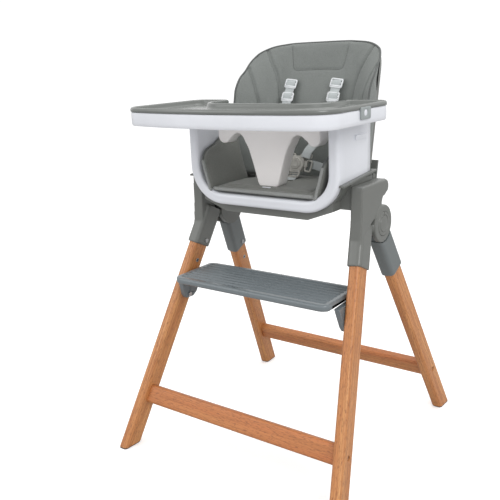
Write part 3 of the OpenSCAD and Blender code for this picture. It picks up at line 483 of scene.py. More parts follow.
def rolled(w, front, back, r_out, r_in):
    """Section of the rim: (distance in from the outer face, distance back)."""
    bend = np.linspace(0, math.pi / 2, 8)
    s = [(r_out * (1 - math.cos(a)), front + r_out * (1 - math.sin(a))) for a in bend]
    s += [(w - r_in * (1 - math.sin(a)), front + r_in * (1 - math.cos(a))) for a in bend]
    s += [(w, back - 0.002), (w - 0.002, back), (0.002, back), (0.0, back - 0.002)]
    return s + [(0.0, back - 0.02), (0.0, front + 0.03)]


shell_section = rolled(rim, shell_front, shell_back, 0.0085, 0.0075)
shell = one_mesh("seat_shell_moulding", [loft([
    [Vector((p[0] + d[0] * n, y, p[1] + d[1] * n)) for n, y in shell_section] for p, d in outer_path])])
settled(shell, 60)
made(shell, white, "white_plastic", "frame", "seat_shell")
for n in ("tray_release_left", "tray_release_right"):
    dressed(n, white, 0.0015)


# ---- Tray ----
# A white band with a bowed front carries a grey lift-off insert. The insert's rolled rim
# stands on the band, and a tab with an oval window clips over each side.

def filleted(points, step=0.004):
    """A closed outline with each corner (x, y, radius) rounded, and points spaced along it."""
    out = []
    n = len(points)
    for i in range(n):
        p = Vector(points[i][:2])
        a, b = (Vector(points[i - 1][:2]) - p), (Vector(points[(i + 1) % n][:2]) - p)
        ua, ub = a.normalized(), b.normalized()
        half = ua.angle(ub) / 2
        r = points[i][2]
        reach = min(r / math.tan(half), a.length * 0.499, b.length * 0.499)
        r = reach * math.tan(half)
        centre = p + (ua + ub).normalized() * (r / math.sin(half))
        start, end = p + ua * reach - centre, p + ub * reach - centre
        sweep = start.angle_signed(end)
        k = max(3, int(abs(sweep) * r / step))
        out += [centre + Matrix.Rotation(-sweep * j / k, 2) @ start for j in range(k + 1)]
    dense = []
    for i, p in enumerate(out):
        q = out[(i + 1) % len(out)]
        k = max(1, int((q - p).length / (step * 3)))
        dense += [p.lerp(q, j / k) for j in range(k)]
    return dense


def offset(outline, inset):
    n = len(outline)
    moved = []
    for i in range(n):
        along = (outline[(i + 1) % n] - outline[i - 1]).normalized()
        moved.append(outline[i] + Vector((-along.y, along.x)) * inset)
    return moved


tray_half, tray_front, tray_back = 0.260, -0.289, 0.001
notch_half, notch_front = 0.158, -0.117
right_half = [(0.0, tray_front, 0.5), (0.105, tray_front + 0.0040, 0.5),
              (0.175, tray_front + 0.0125, 0.25), (tray_half, tray_front + 0.0300, 0.070),
              (tray_half, tray_back, 0.026), (notch_half, tray_back, 0.016),
              (notch_half, notch_front, 0.062)]
outline = filleted(right_half + [(-x, y, r) for x, y, r in right_half[:0:-1]])
if sum(p.x * q.y - q.x * p.y for p, q in zip(outline, outline[1:] + outline[:1])) < 0:
    outline = outline[::-1]


def swept(outline, section):
    """Sweeps (inset, height) pairs round a closed outline."""
    by_inset = {}
    for inset, z in section:
        by_inset.setdefault(round(inset, 5), offset(outline, inset))
    columns = [[Vector((*by_inset[round(i, 5)][k], z)) for i, z in section] for k in range(len(outline))]
    return loft(columns, round_trip=True)


def sheet_of(outline, inset, low, high):
    return loft([[Vector((*p, z)) for p in offset(outline, inset)] for z in (low, high)])


band_section = [(0.0006, 0.7935), (0.0026, 0.7913), (0.0044, 0.7926), (0.0046, 0.8125),
                (0.0046, 0.8200), (0.0020, 0.8209), (0.0004, 0.8196), (0.0, 0.8150), (0.0, 0.8000)]
band = one_mesh("tray_band", [swept(outline, band_section), sheet_of(outline, 0.003, 0.8122, 0.8150)]
                + [prism(rounded(0.0032, 0.226, 0.0015, s * x, -0.116), 0.7962, 0.813, Matrix())
                   for s in (-1, 1) for x in (0.1716, 0.2024)])
settled(band, 40)
made(band, white, "white_plastic", "tray", "tray_body")

taupe = moulded_plastic("taupe_rim", (0.145, 0.155, 0.145), 0.20, coat=0.5, grit=0.05, wear=0.6)
rim_section = [(-0.0006, 0.8216), (-0.0012, 0.8240), (-0.0010, 0.8275), (0.0005, 0.8300),
               (0.0030, 0.8310), (0.0058, 0.8300), (0.0076, 0.8275), (0.0090, 0.8225),
               (0.0118, 0.8195), (0.0150, 0.8187), (0.0150, 0.8168), (0.0080, 0.8168),
               (0.0058, 0.8205)]
insert = one_mesh("tray_insert_dish", [swept(outline, rim_section),
                                       sheet_of(outline, 0.0145, 0.8166, 0.8188)])
settled(insert, 45)
made(insert, taupe, "slate_plastic", "tray_insert", "tray_insert")
clip_y, clip_z = -0.119, 0.8135
clip = one_mesh("clip_plate", [prism(rounded(0.042, 0.024, 0.004, clip_y, clip_z), 0.2604, 0.2636, side_view)])
cut(clip, prism(rounded(0.0150, 0.0125, 0.0060, clip_y, clip_z + 0.001), 0.25, 0.27, side_view))
bevel = clip.modifiers.new("edges", "BEVEL")
bevel.width, bevel.segments, bevel.angle_limit = 0.0008, 2, math.radians(40)
settled(clip, 35)
twin = mirrored(clip, "tray_clip_left")
clip.name = "tray_clip_right"
clip_grey = moulded_plastic("clip_grey", (0.30, 0.33, 0.33), 0.4)
window_place = (Matrix.Translation((0, clip_y, clip_z + 0.001)) @ side_view
                @ Matrix.Scale(1.18, 4, (1, 0, 0)))
window = one_mesh("clip_window_right", [turned([
    (0.0062, 0.2606), (0.0062, 0.2626), (0.0045, 0.2631), (0.0008, 0.2632)], window_place, 40)])
settled(window, 40)
window_twin = mirrored(window, "clip_window_left")
for o, skin, slot_name in ((clip, clip_grey, "slate_plastic"), (twin, clip_grey, "slate_plastic"),
                           (window, white, "white_plastic"), (window_twin, white, "white_plastic")):
    made(o, skin, slot_name, "tray_insert")


# ---- Crotch guard ----
# A smooth warm white T, blow moulded, that stands on the cushion and reaches up to the tray.
# Its foot plugs into a flat white clip through a slot in the cushion.

cream = moulded_plastic("warm_white", (0.90, 0.87, 0.855), 0.30, coat=0.15, grit=0.04, wear=0.3)
front_view = Matrix(((1, 0, 0, 0), (0, 0, 1, 0), (0, 1, 0, 0), (0, 0, 0, 1)))
foot_z, guard_top, guard_y = 0.6422, 0.7850, -0.062
lobe = arc(0.121, 0.753, 0.017, -10, -160, 10)
right_side = ([(0.0, guard_top), (0.1375, guard_top), (0.138, 0.752)] + lobe
              + arc(0.082, 0.740, 0.0195, 35, 165, 10)
              + [(0.052, 0.726), (0.040, 0.690), (0.028, foot_z + 0.006), (0.024, foot_z)])
guard_outline = right_side + [(-x, z) for x, z in right_side[:0:-1]]
guard = fused("crotch_guard_moulding", [
    prism(guard_outline, guard_y - 0.0195, guard_y + 0.0195, front_view)], 0.0022, 14)
made(guard, cream, "guard_plastic", "frame", "crotch_guard")
dressed("guard_clip", white, 0.0008)
tab = one_mesh("guard_tab", [
    prism(rounded(0.023, 0.030, 0.003, 0.0, guard_y - 0.014), 0.6405, 0.6424, Matrix())])
tab.modifiers.new("edges", "BEVEL").width = 0.0006
settled(tab, 35)
made(tab, white, "white_plastic", "frame")


# ---- Back pad ----
# A bucket shaped pad of grey leatherette over foam, piped round its edge. Two seams divide
# the back from the side bolsters, and a stitched panel marks the headrest.

def leatherette(name, colour, sheen=0.15):
    m, t, b = shader(name, 0.62, sheen=sheen)
    c = object_coords(t)
    cloud = noise(t, c, 11, 4, 0.6)
    melange = noise(t, c, 520, 3, 0.7)
    tone = blended(t, between(t, cloud, 0.3, 0.7), darker(colour, 0.93), darker(colour, 1.05))
    flecks = between(t, melange, 0.35, 0.65, 0.0, 0.55)
    t.links.new(blended(t, flecks, tone, darker(colour, 0.62)), b.inputs["Base Color"])
    warp = add(t, "ShaderNodeTexWave", {"Scale": 170, "Distortion": 0.6, "Detail": 1}, bands_direction="X")
    weft = add(t, "ShaderNodeTexWave", {"Scale": 170, "Distortion": 0.6, "Detail": 1}, bands_direction="Z")
    t.links.new(c, warp.inputs["Vector"])
    t.links.new(c, weft.inputs["Vector"])
    cross = add(t, "ShaderNodeMath", operation="ADD")
    t.links.new(warp.outputs["Fac"], cross.inputs[0])
    t.links.new(weft.outputs["Fac"], cross.inputs[1])
    rough_cloth = add(t, "ShaderNodeMath", operation="ADD")
    t.links.new(cross.outputs[0], rough_cloth.inputs[0])
    t.links.new(melange, rough_cloth.inputs[1])
    t.links.new(between(t, melange, 0.3, 0.7, 0.54, 0.72), b.inputs["Roughness"])
    raised(t, b, rough_cloth.outputs[0], 0.35, 0.0004)
    return m


def tube(points, r, closed=False, sides=8, flat=1.0):
    """A round bead along a line of points."""
    pts = [Vector(p) for p in points]
    n = len(pts)
    rings, side = [], None
    for i, p in enumerate(pts):
        a = pts[i - 1] if i or closed else pts[0]
        b = pts[(i + 1) % n] if i < n - 1 or closed else pts[-1]
        along = (b - a).normalized()
        side = (along.orthogonal() if side is None else side - along * side.dot(along)).normalized()
        other = along.cross(side)
        rings.append([p + (side * math.cos(q) + other * math.sin(q) * flat) * r
                      for q in np.linspace(0, 2 * math.pi, sides, endpoint=False)])
    return loft(rings, capped=not closed, round_trip=closed)


def puffed(o, cap, pressure=4.0, voxel=0.005, held=None, frames=20):
    """Stuffs a closed fabric form: cloth under pressure, held where it is sewn or glued."""
    r = o.modifiers.new("cut", "REMESH")
    r.mode = "VOXEL"
    r.voxel_size = voxel
    settled(o)
    rest = np.array([v.co for v in o.data.vertices])
    cloth = o.modifiers.new("cloth", "CLOTH")
    cs = cloth.settings
    cs.quality = 5
    cs.mass = 0.3
    cs.tension_stiffness = cs.compression_stiffness = 20
    cs.shear_stiffness = 8
    cs.bending_stiffness = 0.8
    cs.use_pressure = True
    cs.uniform_pressure_force = pressure
    cs.effector_weights.gravity = 0
    cloth.collision_settings.use_collision = False
    if held is not None:
        group = o.vertex_groups.new(name="held")
        for i, w in enumerate(held(rest)):
            if w > 0:
                group.add([i], float(w), "REPLACE")
        cs.vertex_group_mass = "held"
    cloth.point_cache.frame_start, cloth.point_cache.frame_end = 1, frames
    for f in range(1, frames + 1):
        scene.frame_set(f)
    moved = np.array([v.co for v in o.evaluated_get(bpy.context.evaluated_depsgraph_get()).data.vertices])
    o.modifiers.clear()
    scene.frame_set(1)
    d = moved - rest
    length = np.linalg.norm(d, axis=1, keepdims=True)
    d *= np.minimum(1, cap / np.maximum(length, 1e-9))
    o.data.vertices.foreach_set("co", (rest + d).astype(np.float32).ravel())
    o.data.update()
    return o


def finer(o):
    s = o.modifiers.new("finer", "SUBSURF")
    s.levels = s.render_levels = 1
    return settled(o)


def pressed(o, lines, depth, width):
    """Draws the cloth in along sewn lines."""
    co = np.array([v.co for v in o.data.vertices])
    nm = np.array([v.normal for v in o.data.vertices])
    near = np.full(len(co), 1.0)
    for line in lines:
        pts = np.array([tuple(p) for p in line])
        a, d = pts[:-1], pts[1:] - pts[:-1]
        low, high = pts.min(0) - 3 * width, pts.max(0) + 3 * width
        inside = np.where(((co > low) & (co < high)).all(1))[0]
        for k in range(0, len(inside), 4000):
            ids = inside[k:k + 4000]
            t = np.clip(((co[ids][:, None] - a) * d).sum(2) / np.maximum((d ** 2).sum(1), 1e-12), 0, 1)
            gap = np.linalg.norm(co[ids][:, None] - (a + t[..., None] * d), axis=2).min(1)
            near[ids] = np.minimum(near[ids], gap)
    co -= nm * (depth * np.exp(-(near / width) ** 2))[:, None]
    o.data.vertices.foreach_set("co", co.astype(np.float32).ravel())
    o.data.update()
    return o


def onto(o, points, lift=0.0):
    """Lays a line of points on a piece's surface."""
    tree = BVHTree.FromObject(o, bpy.context.evaluated_depsgraph_get())
    laid = []
    for p in points:
        spot, normal, _, _ = tree.find_nearest(Vector(p))
        laid.append(spot + normal * lift)
    return laid


def spaced(points, step):
    pts = [Vector(p) for p in points]
    out, carry = [pts[0]], 0.0
    for a, b in zip(pts, pts[1:]):
        length = (b - a).length
        at = step - carry
        while at <= length:
            out.append(a.lerp(b, at / length))
            at += step
        carry = (carry + length) % step
    return out


def stitches(lines, step=0.0042, length=0.0028, r=0.00042):
    parts = []
    for line in lines:
        pts = spaced(line, step)
        for a, b in zip(pts, pts[1:]):
            u = (b - a).normalized()
            parts.append(tube([a, a + u * length], r, sides=5))
    return parts


pad_grey = leatherette("pad_grey", (0.20, 0.216, 0.205))
liner_grey = leatherette("liner_grey", (0.195, 0.20, 0.182))
piping_grey = leatherette("piping_grey", (0.10, 0.108, 0.104), 0.1)
thread = leatherette("thread_grey", (0.12, 0.13, 0.125), 0.1)
back_place = Matrix.Translation((0, 0.100, 0.625)) @ leaned(-12.5)
pad_half, pad_top, pad_square, pad_low = 0.1855, 0.3385, 0.2085, 0.006
crown = 4.71                      # power of the curve that rounds the pad's top corners
edge_table = ([0.0, 0.020, 0.060, 0.112, 0.152, pad_square],
              [-0.060, -0.069, -0.079, -0.089, -0.095, -0.0965])


def pad_edge_x(w):
    if w <= pad_square:
        return pad_half - 0.010 * max(0.0, 1 - w / 0.08) ** 2
    u = min(1.0, (w - pad_square) / (pad_top - pad_square))
    return pad_half * max(0.0, 1 - u ** crown) ** (1 / crown)


def pad_edge_v(w):
    if w <= edge_table[0][-1]:
        return float(np.interp(w, *edge_table))
    u = min(1.0, (w - pad_square) / (pad_top - pad_square))
    return -(0.0057 + (0.0965 - 0.0057) * (1 - u ** 1.25))


def pad_front_v(x, w, plump=0.0):
    edge = pad_edge_v(w)
    u = abs(x) / max(pad_edge_x(w), 1e-6)
    t = max(0.0, (u - 0.52) / 0.48)
    return -0.014 + (edge + 0.014) * t ** 1.45 + plump


def pad_point(x, v, w):
    return back_place @ Vector((x, v, w))


def pad_floor(x, v):
    """The underside stays level, just over the seat cushion, and drops behind it."""
    level = (0.0180 + v * math.sin(math.radians(12.5))) / math.cos(math.radians(12.5))
    return max(pad_low, level) if abs(x) > 0.086 else pad_low


def pad_rim_distance(x, w):
    if w <= pad_square:
        return 1.0
    n = (abs(x) / pad_half) ** crown + ((w - pad_square) / (pad_top - pad_square)) ** crown
    return (1 - min(1.0, n) ** (1 / crown)) * (pad_top - pad_square)


def pad_ring(w):
    """Closed section of the pad at one height: front face, then the rounded back."""
    reach, edge = pad_edge_x(w), pad_edge_v(w)
    xs = np.sin(np.linspace(-math.pi / 2, math.pi / 2, 61)) * reach
    ring = []
    for x in xs:
        d = pad_rim_distance(x, w)
        k = math.sqrt(max(0.0, 1 - (1 - min(1.0, d / 0.014)) ** 2))
        v = pad_front_v(x, w, 0.0025)
        ring.append((x, edge + (v - edge) * k))
    for x in xs[::-1]:
        a = max(0.0, abs(x) - 0.104)
        v = 0.006 - (0.084 - math.sqrt(max(0.0, 0.084 ** 2 - a ** 2)))
        v = max(v, edge + 0.004)
        d = pad_rim_distance(x, w)
        k = math.sqrt(max(0.0, 1 - (1 - min(1.0, d / 0.014)) ** 2))
        ring.append((x * 0.999, edge + 0.004 + (v - edge - 0.004) * k))
    return [pad_point(x, v, max(w, pad_floor(x, v))) for x, v in ring]


heights = list(np.linspace(pad_low, pad_square, 36)) + [
    pad_square + (pad_top - 0.0004 - pad_square) * math.sin(a) ** (2 / crown)
    for a in np.linspace(0.02, math.pi / 2, 34)]
back_pad = one_mesh("back_pad", [loft([pad_ring(w) for w in heights])])


def seam(points, side=1, n=60):
    """A line over the pad's front, from (x, height) pairs."""
    ws = [p[1] for p in points][::-1]
    xs = [p[0] for p in points][::-1]
    out = []
    for w in np.linspace(ws[-1], ws[0], n):
        x = float(np.interp(w, ws, xs)) * side
        out.append(pad_point(x, pad_front_v(x, w), w))
    return out


inner_seam = [(0.1455, 0.321), (0.1390, 0.309), (0.1285, 0.290), (0.1145, 0.264), (0.1040, 0.232),
              (0.0990, 0.200), (0.0950, 0.160), (0.0930, 0.100), (0.0930, 0.020)]
outer_seam = [(0.1745, 0.272), (0.1690, 0.259), (0.1610, 0.246), (0.1520, 0.224), (0.1460, 0.205),
              (0.1420, 0.189), (0.1380, 0.150), (0.1370, 0.110)]
seams = [seam(inner_seam, s) for s in (-1, 1)] + [seam(outer_seam, s) for s in (-1, 1)]
panel = [(0.0790, 0.3290), (0.0745, 0.3020), (0.0705, 0.2800), (0.0670, 0.2735), (0.0600, 0.2705)]
headrest = [(-x, w) for x, w in panel]
headrest += [(x, 0.2705 + 0.0010 * math.cos(x / 0.06 * 1.57)) for x in np.linspace(-0.05, 0.05, 12)]
headrest += panel[::-1]
headrest = [pad_point(x, pad_front_v(x, w), w) for x, w in headrest]
rim_line = [(pad_edge_x(w), pad_edge_v(w), w) for w in heights]
rim_line = ([pad_point(-x, v, w) for x, v, w in rim_line]
            + [pad_point(x, v, w) for x, v, w in rim_line[::-1]])


def held_at(lines, reach, rear=None):
    pts = [p for line in lines for p in spaced(line, 0.003)]
    tree = KDTree(len(pts))
    for i, p in enumerate(pts):
        tree.insert(p, i)
    tree.balance()

    def weights(co):
        out = []
        for c in co:
            d = tree.find(c)[2]
            w = 1.0 if d < reach else 0.0
            if rear is not None and rear(Vector(c)):
                w = 1.0
            out.append(w)
        return out
    return weights


to_back = back_place.inverted()


def pad_rear(c):
    p = to_back @ c
    return p.y > -0.004 or abs(p.x) > 0.178 and p.y > pad_edge_v(p.z) + 0.012 or p.z < 0.03


puffed(back_pad, 0.008, held=held_at(seams + [headrest, rim_line], 0.0045, pad_rear))
finer(back_pad)
laid_seams = [onto(back_pad, line) for line in seams]
laid_panel = onto(back_pad, spaced(headrest, 0.004))
pressed(back_pad, laid_seams, 0.0042, 0.0036)
pressed(back_pad, [laid_panel], 0.0018, 0.0026)
made(back_pad, pad_grey, "pad_fabric", "backrest", "back_cushion")
edge_line = onto(back_pad, spaced(rim_line, 0.005), 0.0004)
for _ in range(6):
    middle = [(a + b * 2 + c) / 4 for a, b, c in zip(edge_line, edge_line[1:], edge_line[2:])]
    edge_line = [edge_line[0]] + middle + [edge_line[-1]]
piping = one_mesh("back_pad_piping", [tube(edge_line, 0.0023)])
settled(piping)
made(piping, piping_grey, "pad_fabric", "backrest")
sewing = one_mesh("back_pad_stitching", stitches([onto(back_pad, spaced(laid_panel, 0.003), 0.0003)])
                  + stitches([onto(back_pad, [p + Vector((s * 0.004, 0, 0)) for p in line], 0.0003)
                              for line, s in zip(laid_seams, (-1, 1, -1, 1))]))
made(sewing, thread, "pad_fabric", "backrest")


# ---- Seat cushion and side pads ----
# The liner's lower half in the same leatherette: a flat cushion on the shell's floor and a
# thin shaped wing up each side, bound along their front edges with a paler tape.

floor_z, cushion_top = 0.6236, 0.6396
cushion_half, wing_foot = 0.1375, 0.1395


def cushion_ring(y, z_low, z_high, half, r=0.006):
    ring = [(half - r + r * math.cos(a), z_low + r + r * math.sin(a))
            for a in np.linspace(-math.pi / 2, 0, 5)]
    ring += [(half - r + r * math.cos(a), z_high - r + r * math.sin(a))
             for a in np.linspace(0, math.pi / 2, 5)]
    ring += [(x, z_high) for x in np.linspace(half - r, -half + r, 20)[1:-1]]
    ring += [(-x, z) for x, z in ring[:10][::-1]]
    return [Vector((x, y, z)) for x, z in ring]


rows = []
for y in (list(np.linspace(-0.1065, -0.100, 4)) + list(np.linspace(-0.094, 0.030, 16)) + [0.036]
          + list(np.linspace(0.042, 0.0842, 7))):
    edge = min(1.0, (y + 0.1067) / 0.007)
    back_edge = min(1.0, (0.0845 - y) / 0.006)
    k = math.sqrt(max(0.02, 1 - (1 - min(edge, back_edge)) ** 2))
    half = cushion_half if y < 0.031 else cushion_half - 0.016
    rows.append(cushion_ring(y, floor_z + 0.001 + 0.006 * (1 - k),
                             cushion_top - 0.0020 - 0.006 * (1 - k), half))
cushion = one_mesh("seat_pad", [loft(rows)])


def cushion_held(co):
    return [1.0 if c[2] < floor_z + 0.004 else 0.0 for c in co]


puffed(cushion, 0.006, held=cushion_held)
finer(cushion)
channel = [[Vector((x, y, cushion_top)) for y in np.linspace(-0.098, 0.06, 40)] for x in (-0.118, 0.118)]
channel.append([Vector((x, -0.094, cushion_top)) for x in np.linspace(-0.118, 0.118, 50)])
channel = [onto(cushion, line) for line in channel]
pressed(cushion, channel, 0.0022, 0.0030)
cut(cushion, prism(rounded(0.031, 0.012, 0.004, 0.0, -0.062), 0.60, 0.66, Matrix()),
    prism(rounded(0.031, 0.009, 0.003, 0.0, 0.0), 0.60, 0.66, Matrix()))
made(cushion, liner_grey, "pad_fabric", "frame", "seat_cushion")

wing_tops = ([-0.115, -0.108, -0.095, -0.078, -0.058, -0.036, -0.012, 0.010, 0.030],
             [0.700, 0.712, 0.722, 0.727, 0.733, 0.744, 0.752, 0.758, 0.764])
wing_back = 0.0375


def wing_point(y, t, out):
    """t runs up the wing; out is 0 on its inner face and 1 against the shell."""
    low = 0.6312
    top = float(np.interp(y, *wing_tops))
    z = low + (top - low) * t
    lean = max(0.0, (z - 0.640) / 0.096)
    x = wing_foot + 0.0245 * lean + 0.0015 * math.sin(lean * 3.1)
    up = min(0.062, z - 0.003 * out - 0.6230)
    wall = 0.112 + math.sqrt(0.062 ** 2 - (0.062 - up) ** 2)
    return Vector((min(x + 0.010 * out, wall - 0.0012), y, z - 0.003 * out))


def wing_rows(n=26, m=22):
    rows = []
    for y in np.linspace(-0.1145, wing_back - 0.0005, n):
        near = min(1.0, (y + 0.1150) / 0.005, (wing_back - y) / 0.005)
        k = math.sqrt(max(0.02, 1 - (1 - near) ** 2))
        ring = [wing_point(y, t, 0.5 - 0.5 * k * min(1.0, (1 - t) * 12 + 0.25))
                for t in np.linspace(0.0, 1.0, m)]
        ring += [wing_point(y, t, 0.5 + 0.5 * k * min(1.0, (1 - t) * 12 + 0.25))
                 for t in np.linspace(1.0, 0.0, m)]
        rows.append(ring)
    return rows


wing = one_mesh("side_pad_right_pad", [loft(wing_rows())])
wing_edge = [wing_point(-0.1145, t, 0.5) for t in np.linspace(0.0, 1.0, 20)]
wing_edge += [wing_point(y, 1.0, 0.5) for y in np.linspace(-0.1135, wing_back - 0.0005, 40)]


def wing_held(co):
    out = []
    rim_pts = np.array([tuple(p) for p in wing_edge])
    for c in co:
        lean = (c[2] - 0.640) / 0.096
        deep = c[0] - (wing_foot + 0.0245 * lean)
        near = np.linalg.norm(rim_pts - c, axis=1).min() < 0.006
        out.append(1.0 if deep > 0.006 or near or c[2] < 0.640 else 0.0)
    return out


puffed(wing, 0.005, voxel=0.004, held=wing_held)
finer(wing)
twin = mirrored(wing, "side_pad_left_pad")
made(wing, liner_grey, "pad_fabric", "frame", "side_pad_right")
made(twin, liner_grey, "pad_fabric", "frame", "side_pad_left")
tape = leatherette("binding_tape", (0.30, 0.31, 0.30), 0.2)
front_edge = [Vector((x, -0.1072, (floor_z + cushion_top) / 2 + 0.001))
              for x in np.linspace(-cushion_half, cushion_half, 50)]
binding = one_mesh("liner_binding", [tube(front_edge, 0.0042, flat=1.0)]
                   + [tube([Vector((s * p.x, p.y, p.z)) for p in wing_edge[:20]], 0.0034) for s in (-1, 1)])
settled(binding)
made(binding, tape, "pad_fabric", "frame")
welt = one_mesh("side_pad_piping", [
    tube([Vector((s * p.x, p.y, p.z)) for p in wing_edge[18:]], 0.0022) for s in (-1, 1)])
settled(welt)
made(welt, piping_grey, "pad_fabric", "frame")


# ---- Harness ----
# Pale grey polyester webbing. Two shoulder straps come through the back pad, run through
# white ladder slides and meet the waist and crotch straps at a round-button buckle.

def webbing(name, colour):
    m, t, b = shader(name, 0.7, sheen=0.2)
    c = object_coords(t)
    ribs = add(t, "ShaderNodeTexWave", {"Scale": 260, "Distortion": 0.3}, bands_direction="DIAGONAL")
    t.links.new(c, ribs.inputs["Vector"])
    fuzz = noise(t, c, 700, 3, 0.7)
    t.links.new(blended(t, between(t, fuzz, 0.3, 0.7), darker(colour, 0.8), colour), b.inputs["Base Color"])
    both = add(t, "ShaderNodeMath", operation="ADD")
    t.links.new(ribs.outputs["Fac"], both.inputs[0])
    t.links.new(fuzz, both.inputs[1])
    raised(t, b, both.outputs[0], 0.5, 0.0005)
    return m


def strap(points, across, width, thick=0.0018):
    """A flat strap along a line of points, with its width along the given directions."""
    pts = [Vector(p) for p in points]
    rings = []
    for i, p in enumerate(pts):
        along = (pts[min(i + 1, len(pts) - 1)] - pts[max(i - 1, 0)]).normalized()
        a = Vector(across[i])
        a = (a - along * a.dot(along)).normalized()
        n = along.cross(a)
        ring = []
        for u, v in ((-1, -0.4), (-0.94, -1), (-0.5, -0.85), (0, -0.85), (0.5, -0.85), (0.94, -1), (1, -0.4),
                     (1, 0.4), (0.94, 1), (0.5, 0.85), (0, 0.85), (-0.5, 0.85), (-0.94, 1), (-1, 0.4)):
            ring.append(p + a * (u * width / 2) + n * (v * thick / 2))
        rings.append(ring)
    return loft(rings)


def curve(controls, n=40):
    """A smooth line through the given points."""
    p = [Vector(c) for c in controls]
    p = [p[0] * 2 - p[1]] + p + [p[-1] * 2 - p[-2]]
    out = []
    spans = len(p) - 3
    for k in range(n + 1):
        s = min(k / n * spans, spans - 1e-6)
        i, t = int(s), s - int(s)
        a, b, c, d = p[i:i + 4]
        out.append(0.5 * ((2 * b) + (c - a) * t + (2 * a - 5 * b + 4 * c - d) * t * t
                          + (3 * b - a - 3 * c + d) * t ** 3))
    return out


pale_web = webbing("pale_webbing", (0.50, 0.535, 0.54))
slide_white = moulded_plastic("slide_white", (0.72, 0.74, 0.755), 0.3, coat=0.2, grit=0.04)
buckle_grey = moulded_plastic("buckle_grey", (0.47, 0.46, 0.425), 0.4, grit=0.06)
strap_x, web = 0.064, 0.025
skin_v = pad_front_v(strap_x, 0.23) - 0.0065


def ladder(place, w=0.034, h=0.024, t=0.0042):
    """A slide: a rounded frame with one bar across and a wider lip at the bottom."""
    r = 0.0020
    frame_line = [place @ Vector((x, y, 0)) for x, y in rounded(w - 2 * r, h - 2 * r, 0.003)]
    parts = [tube(frame_line, r, closed=True, sides=10)]
    for y, rr in ((0.0015, 0.0017), (-h * 0.30, 0.0023)):
        ends = [place @ Vector((x, y, 0.0006)) for x in (-w / 2 + r, w / 2 - r)]
        parts.append(tube(ends, rr, sides=10))
    return parts


slides, uppers = [], []
facing = Matrix.Rotation(math.radians(90), 4, "X")
for s in (-1, 1):
    def along_strap(w, off=0.0):
        down = 0.2440 - w
        return pad_point(s * strap_x - 0.09 * down, skin_v - 0.0015 - 0.17 * down - off, w)
    for w, roll in ((0.236, -7), (0.2030, -4)):
        at = Matrix.Translation(along_strap(w, 0.0008)) @ back_place.to_3x3().to_4x4() @ facing
        slides += ladder(at @ Matrix.Rotation(math.radians(roll), 4, "Z") @ leaned(-11))
    run = curve([pad_point(s * strap_x, skin_v + 0.008, 0.2465), along_strap(0.2440),
                 along_strap(0.236, 0.0028), along_strap(0.221), along_strap(0.206, 0.0026),
                 along_strap(0.195)], 40)
    uppers.append((s, run))
slides_piece = settled(one_mesh("strap_slides", slides))
made(slides_piece, slide_white, "adjuster_plastic", "backrest", "strap_adjusters")
for s, run in uppers:
    name = "right" if s > 0 else "left"
    top = settled(one_mesh("shoulder_strap_upper_" + name, [strap(run, [(1, 0, 0)] * len(run), web)]), 50)
    made(top, pale_web, "webbing", "backrest", "shoulder_strap_" + name)
    start = run[-3]
    tip = Vector((s * 0.0250, 0.0425, 0.6925))
    line = curve([start, start + Vector((-s * 0.002, -0.008, -0.020)), Vector((s * 0.055, 0.098, 0.780)),
                  Vector((s * 0.040, 0.066, 0.730)), tip + Vector((s * 0.003, 0.007, 0.014)), tip], 60)
    lower = settled(one_mesh("shoulder_strap_lower_" + name, [strap(line, [(1, 0, 0)] * len(line), web)]), 50)
    made(lower, pale_web, "webbing", None, "lower_strap_" + name)
    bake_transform(lower)
    side = curve([(s * 0.128, 0.088, 0.6520), (s * 0.110, 0.072, 0.6560),
                  (s * 0.078, 0.060, 0.6640), (s * 0.052, 0.051, 0.6730),
                  (s * 0.0385, 0.0470, 0.6760)], 40)
    turn = [Vector((0, 0.2, 1)).lerp(Vector((0, 0.34, 0.94)), k / 40) for k in range(41)]
    waist = settled(one_mesh("waist_strap_" + name + "_web", [strap(side, turn, web * 0.8)]), 50)
    made(waist, pale_web, "webbing", "frame", "waist_strap_" + name)
low_line = curve([(0, 0.004, 0.6370), (0, 0.008, 0.6430), (0, 0.018, 0.6460),
                  (0, 0.032, 0.6535), (0, 0.0395, 0.6600)], 30)
crotch = settled(one_mesh("crotch_strap_web", [strap(low_line, [(1, 0, 0)] * 31, web)]), 50)
made(crotch, pale_web, "webbing", "frame", "crotch_strap")
at = Matrix.Translation((0, 0.0262, 0.6540)) @ Matrix.Rotation(math.radians(48), 4, "X")
crotch_slide = settled(one_mesh("crotch_slide", ladder(at, 0.034, 0.020)))
made(crotch_slide, buckle_grey, "buckle_plastic", "frame", "crotch_adjuster")

buckle_place = Matrix.Translation((0, 0.044, 0.677)) @ leaned(-20) @ facing
shape = [(-0.020, 0.012), (-0.014, 0.019), (0.014, 0.019), (0.020, 0.012),
         (0.022, -0.004), (0.015, -0.0185), (-0.015, -0.0185), (-0.022, -0.004)]
body = fused("buckle_body", [prism(shape, -0.006, 0.0052, buckle_place),
                             prism(circle(0, 0, 0.0135), -0.006, 0.0072, buckle_place)], 0.0008, 5)
cut(body, prism(circle(0, 0, 0.00915), 0.0010, 0.02, buckle_place))
made(body, buckle_grey, "buckle_plastic", "frame", "buckle")
knob = settled(one_mesh("buckle_button_cap", [turned([
    (0.0060, 0.0036), (0.0088, 0.0036), (0.0089, 0.0070), (0.0082, 0.0076), (0.0060, 0.0073),
    (0.0052, 0.0069), (0.0010, 0.0068)], buckle_place)]), 40)
made(knob, buckle_grey, "buckle_plastic", "buckle_button", "buckle_button")
prongs = []
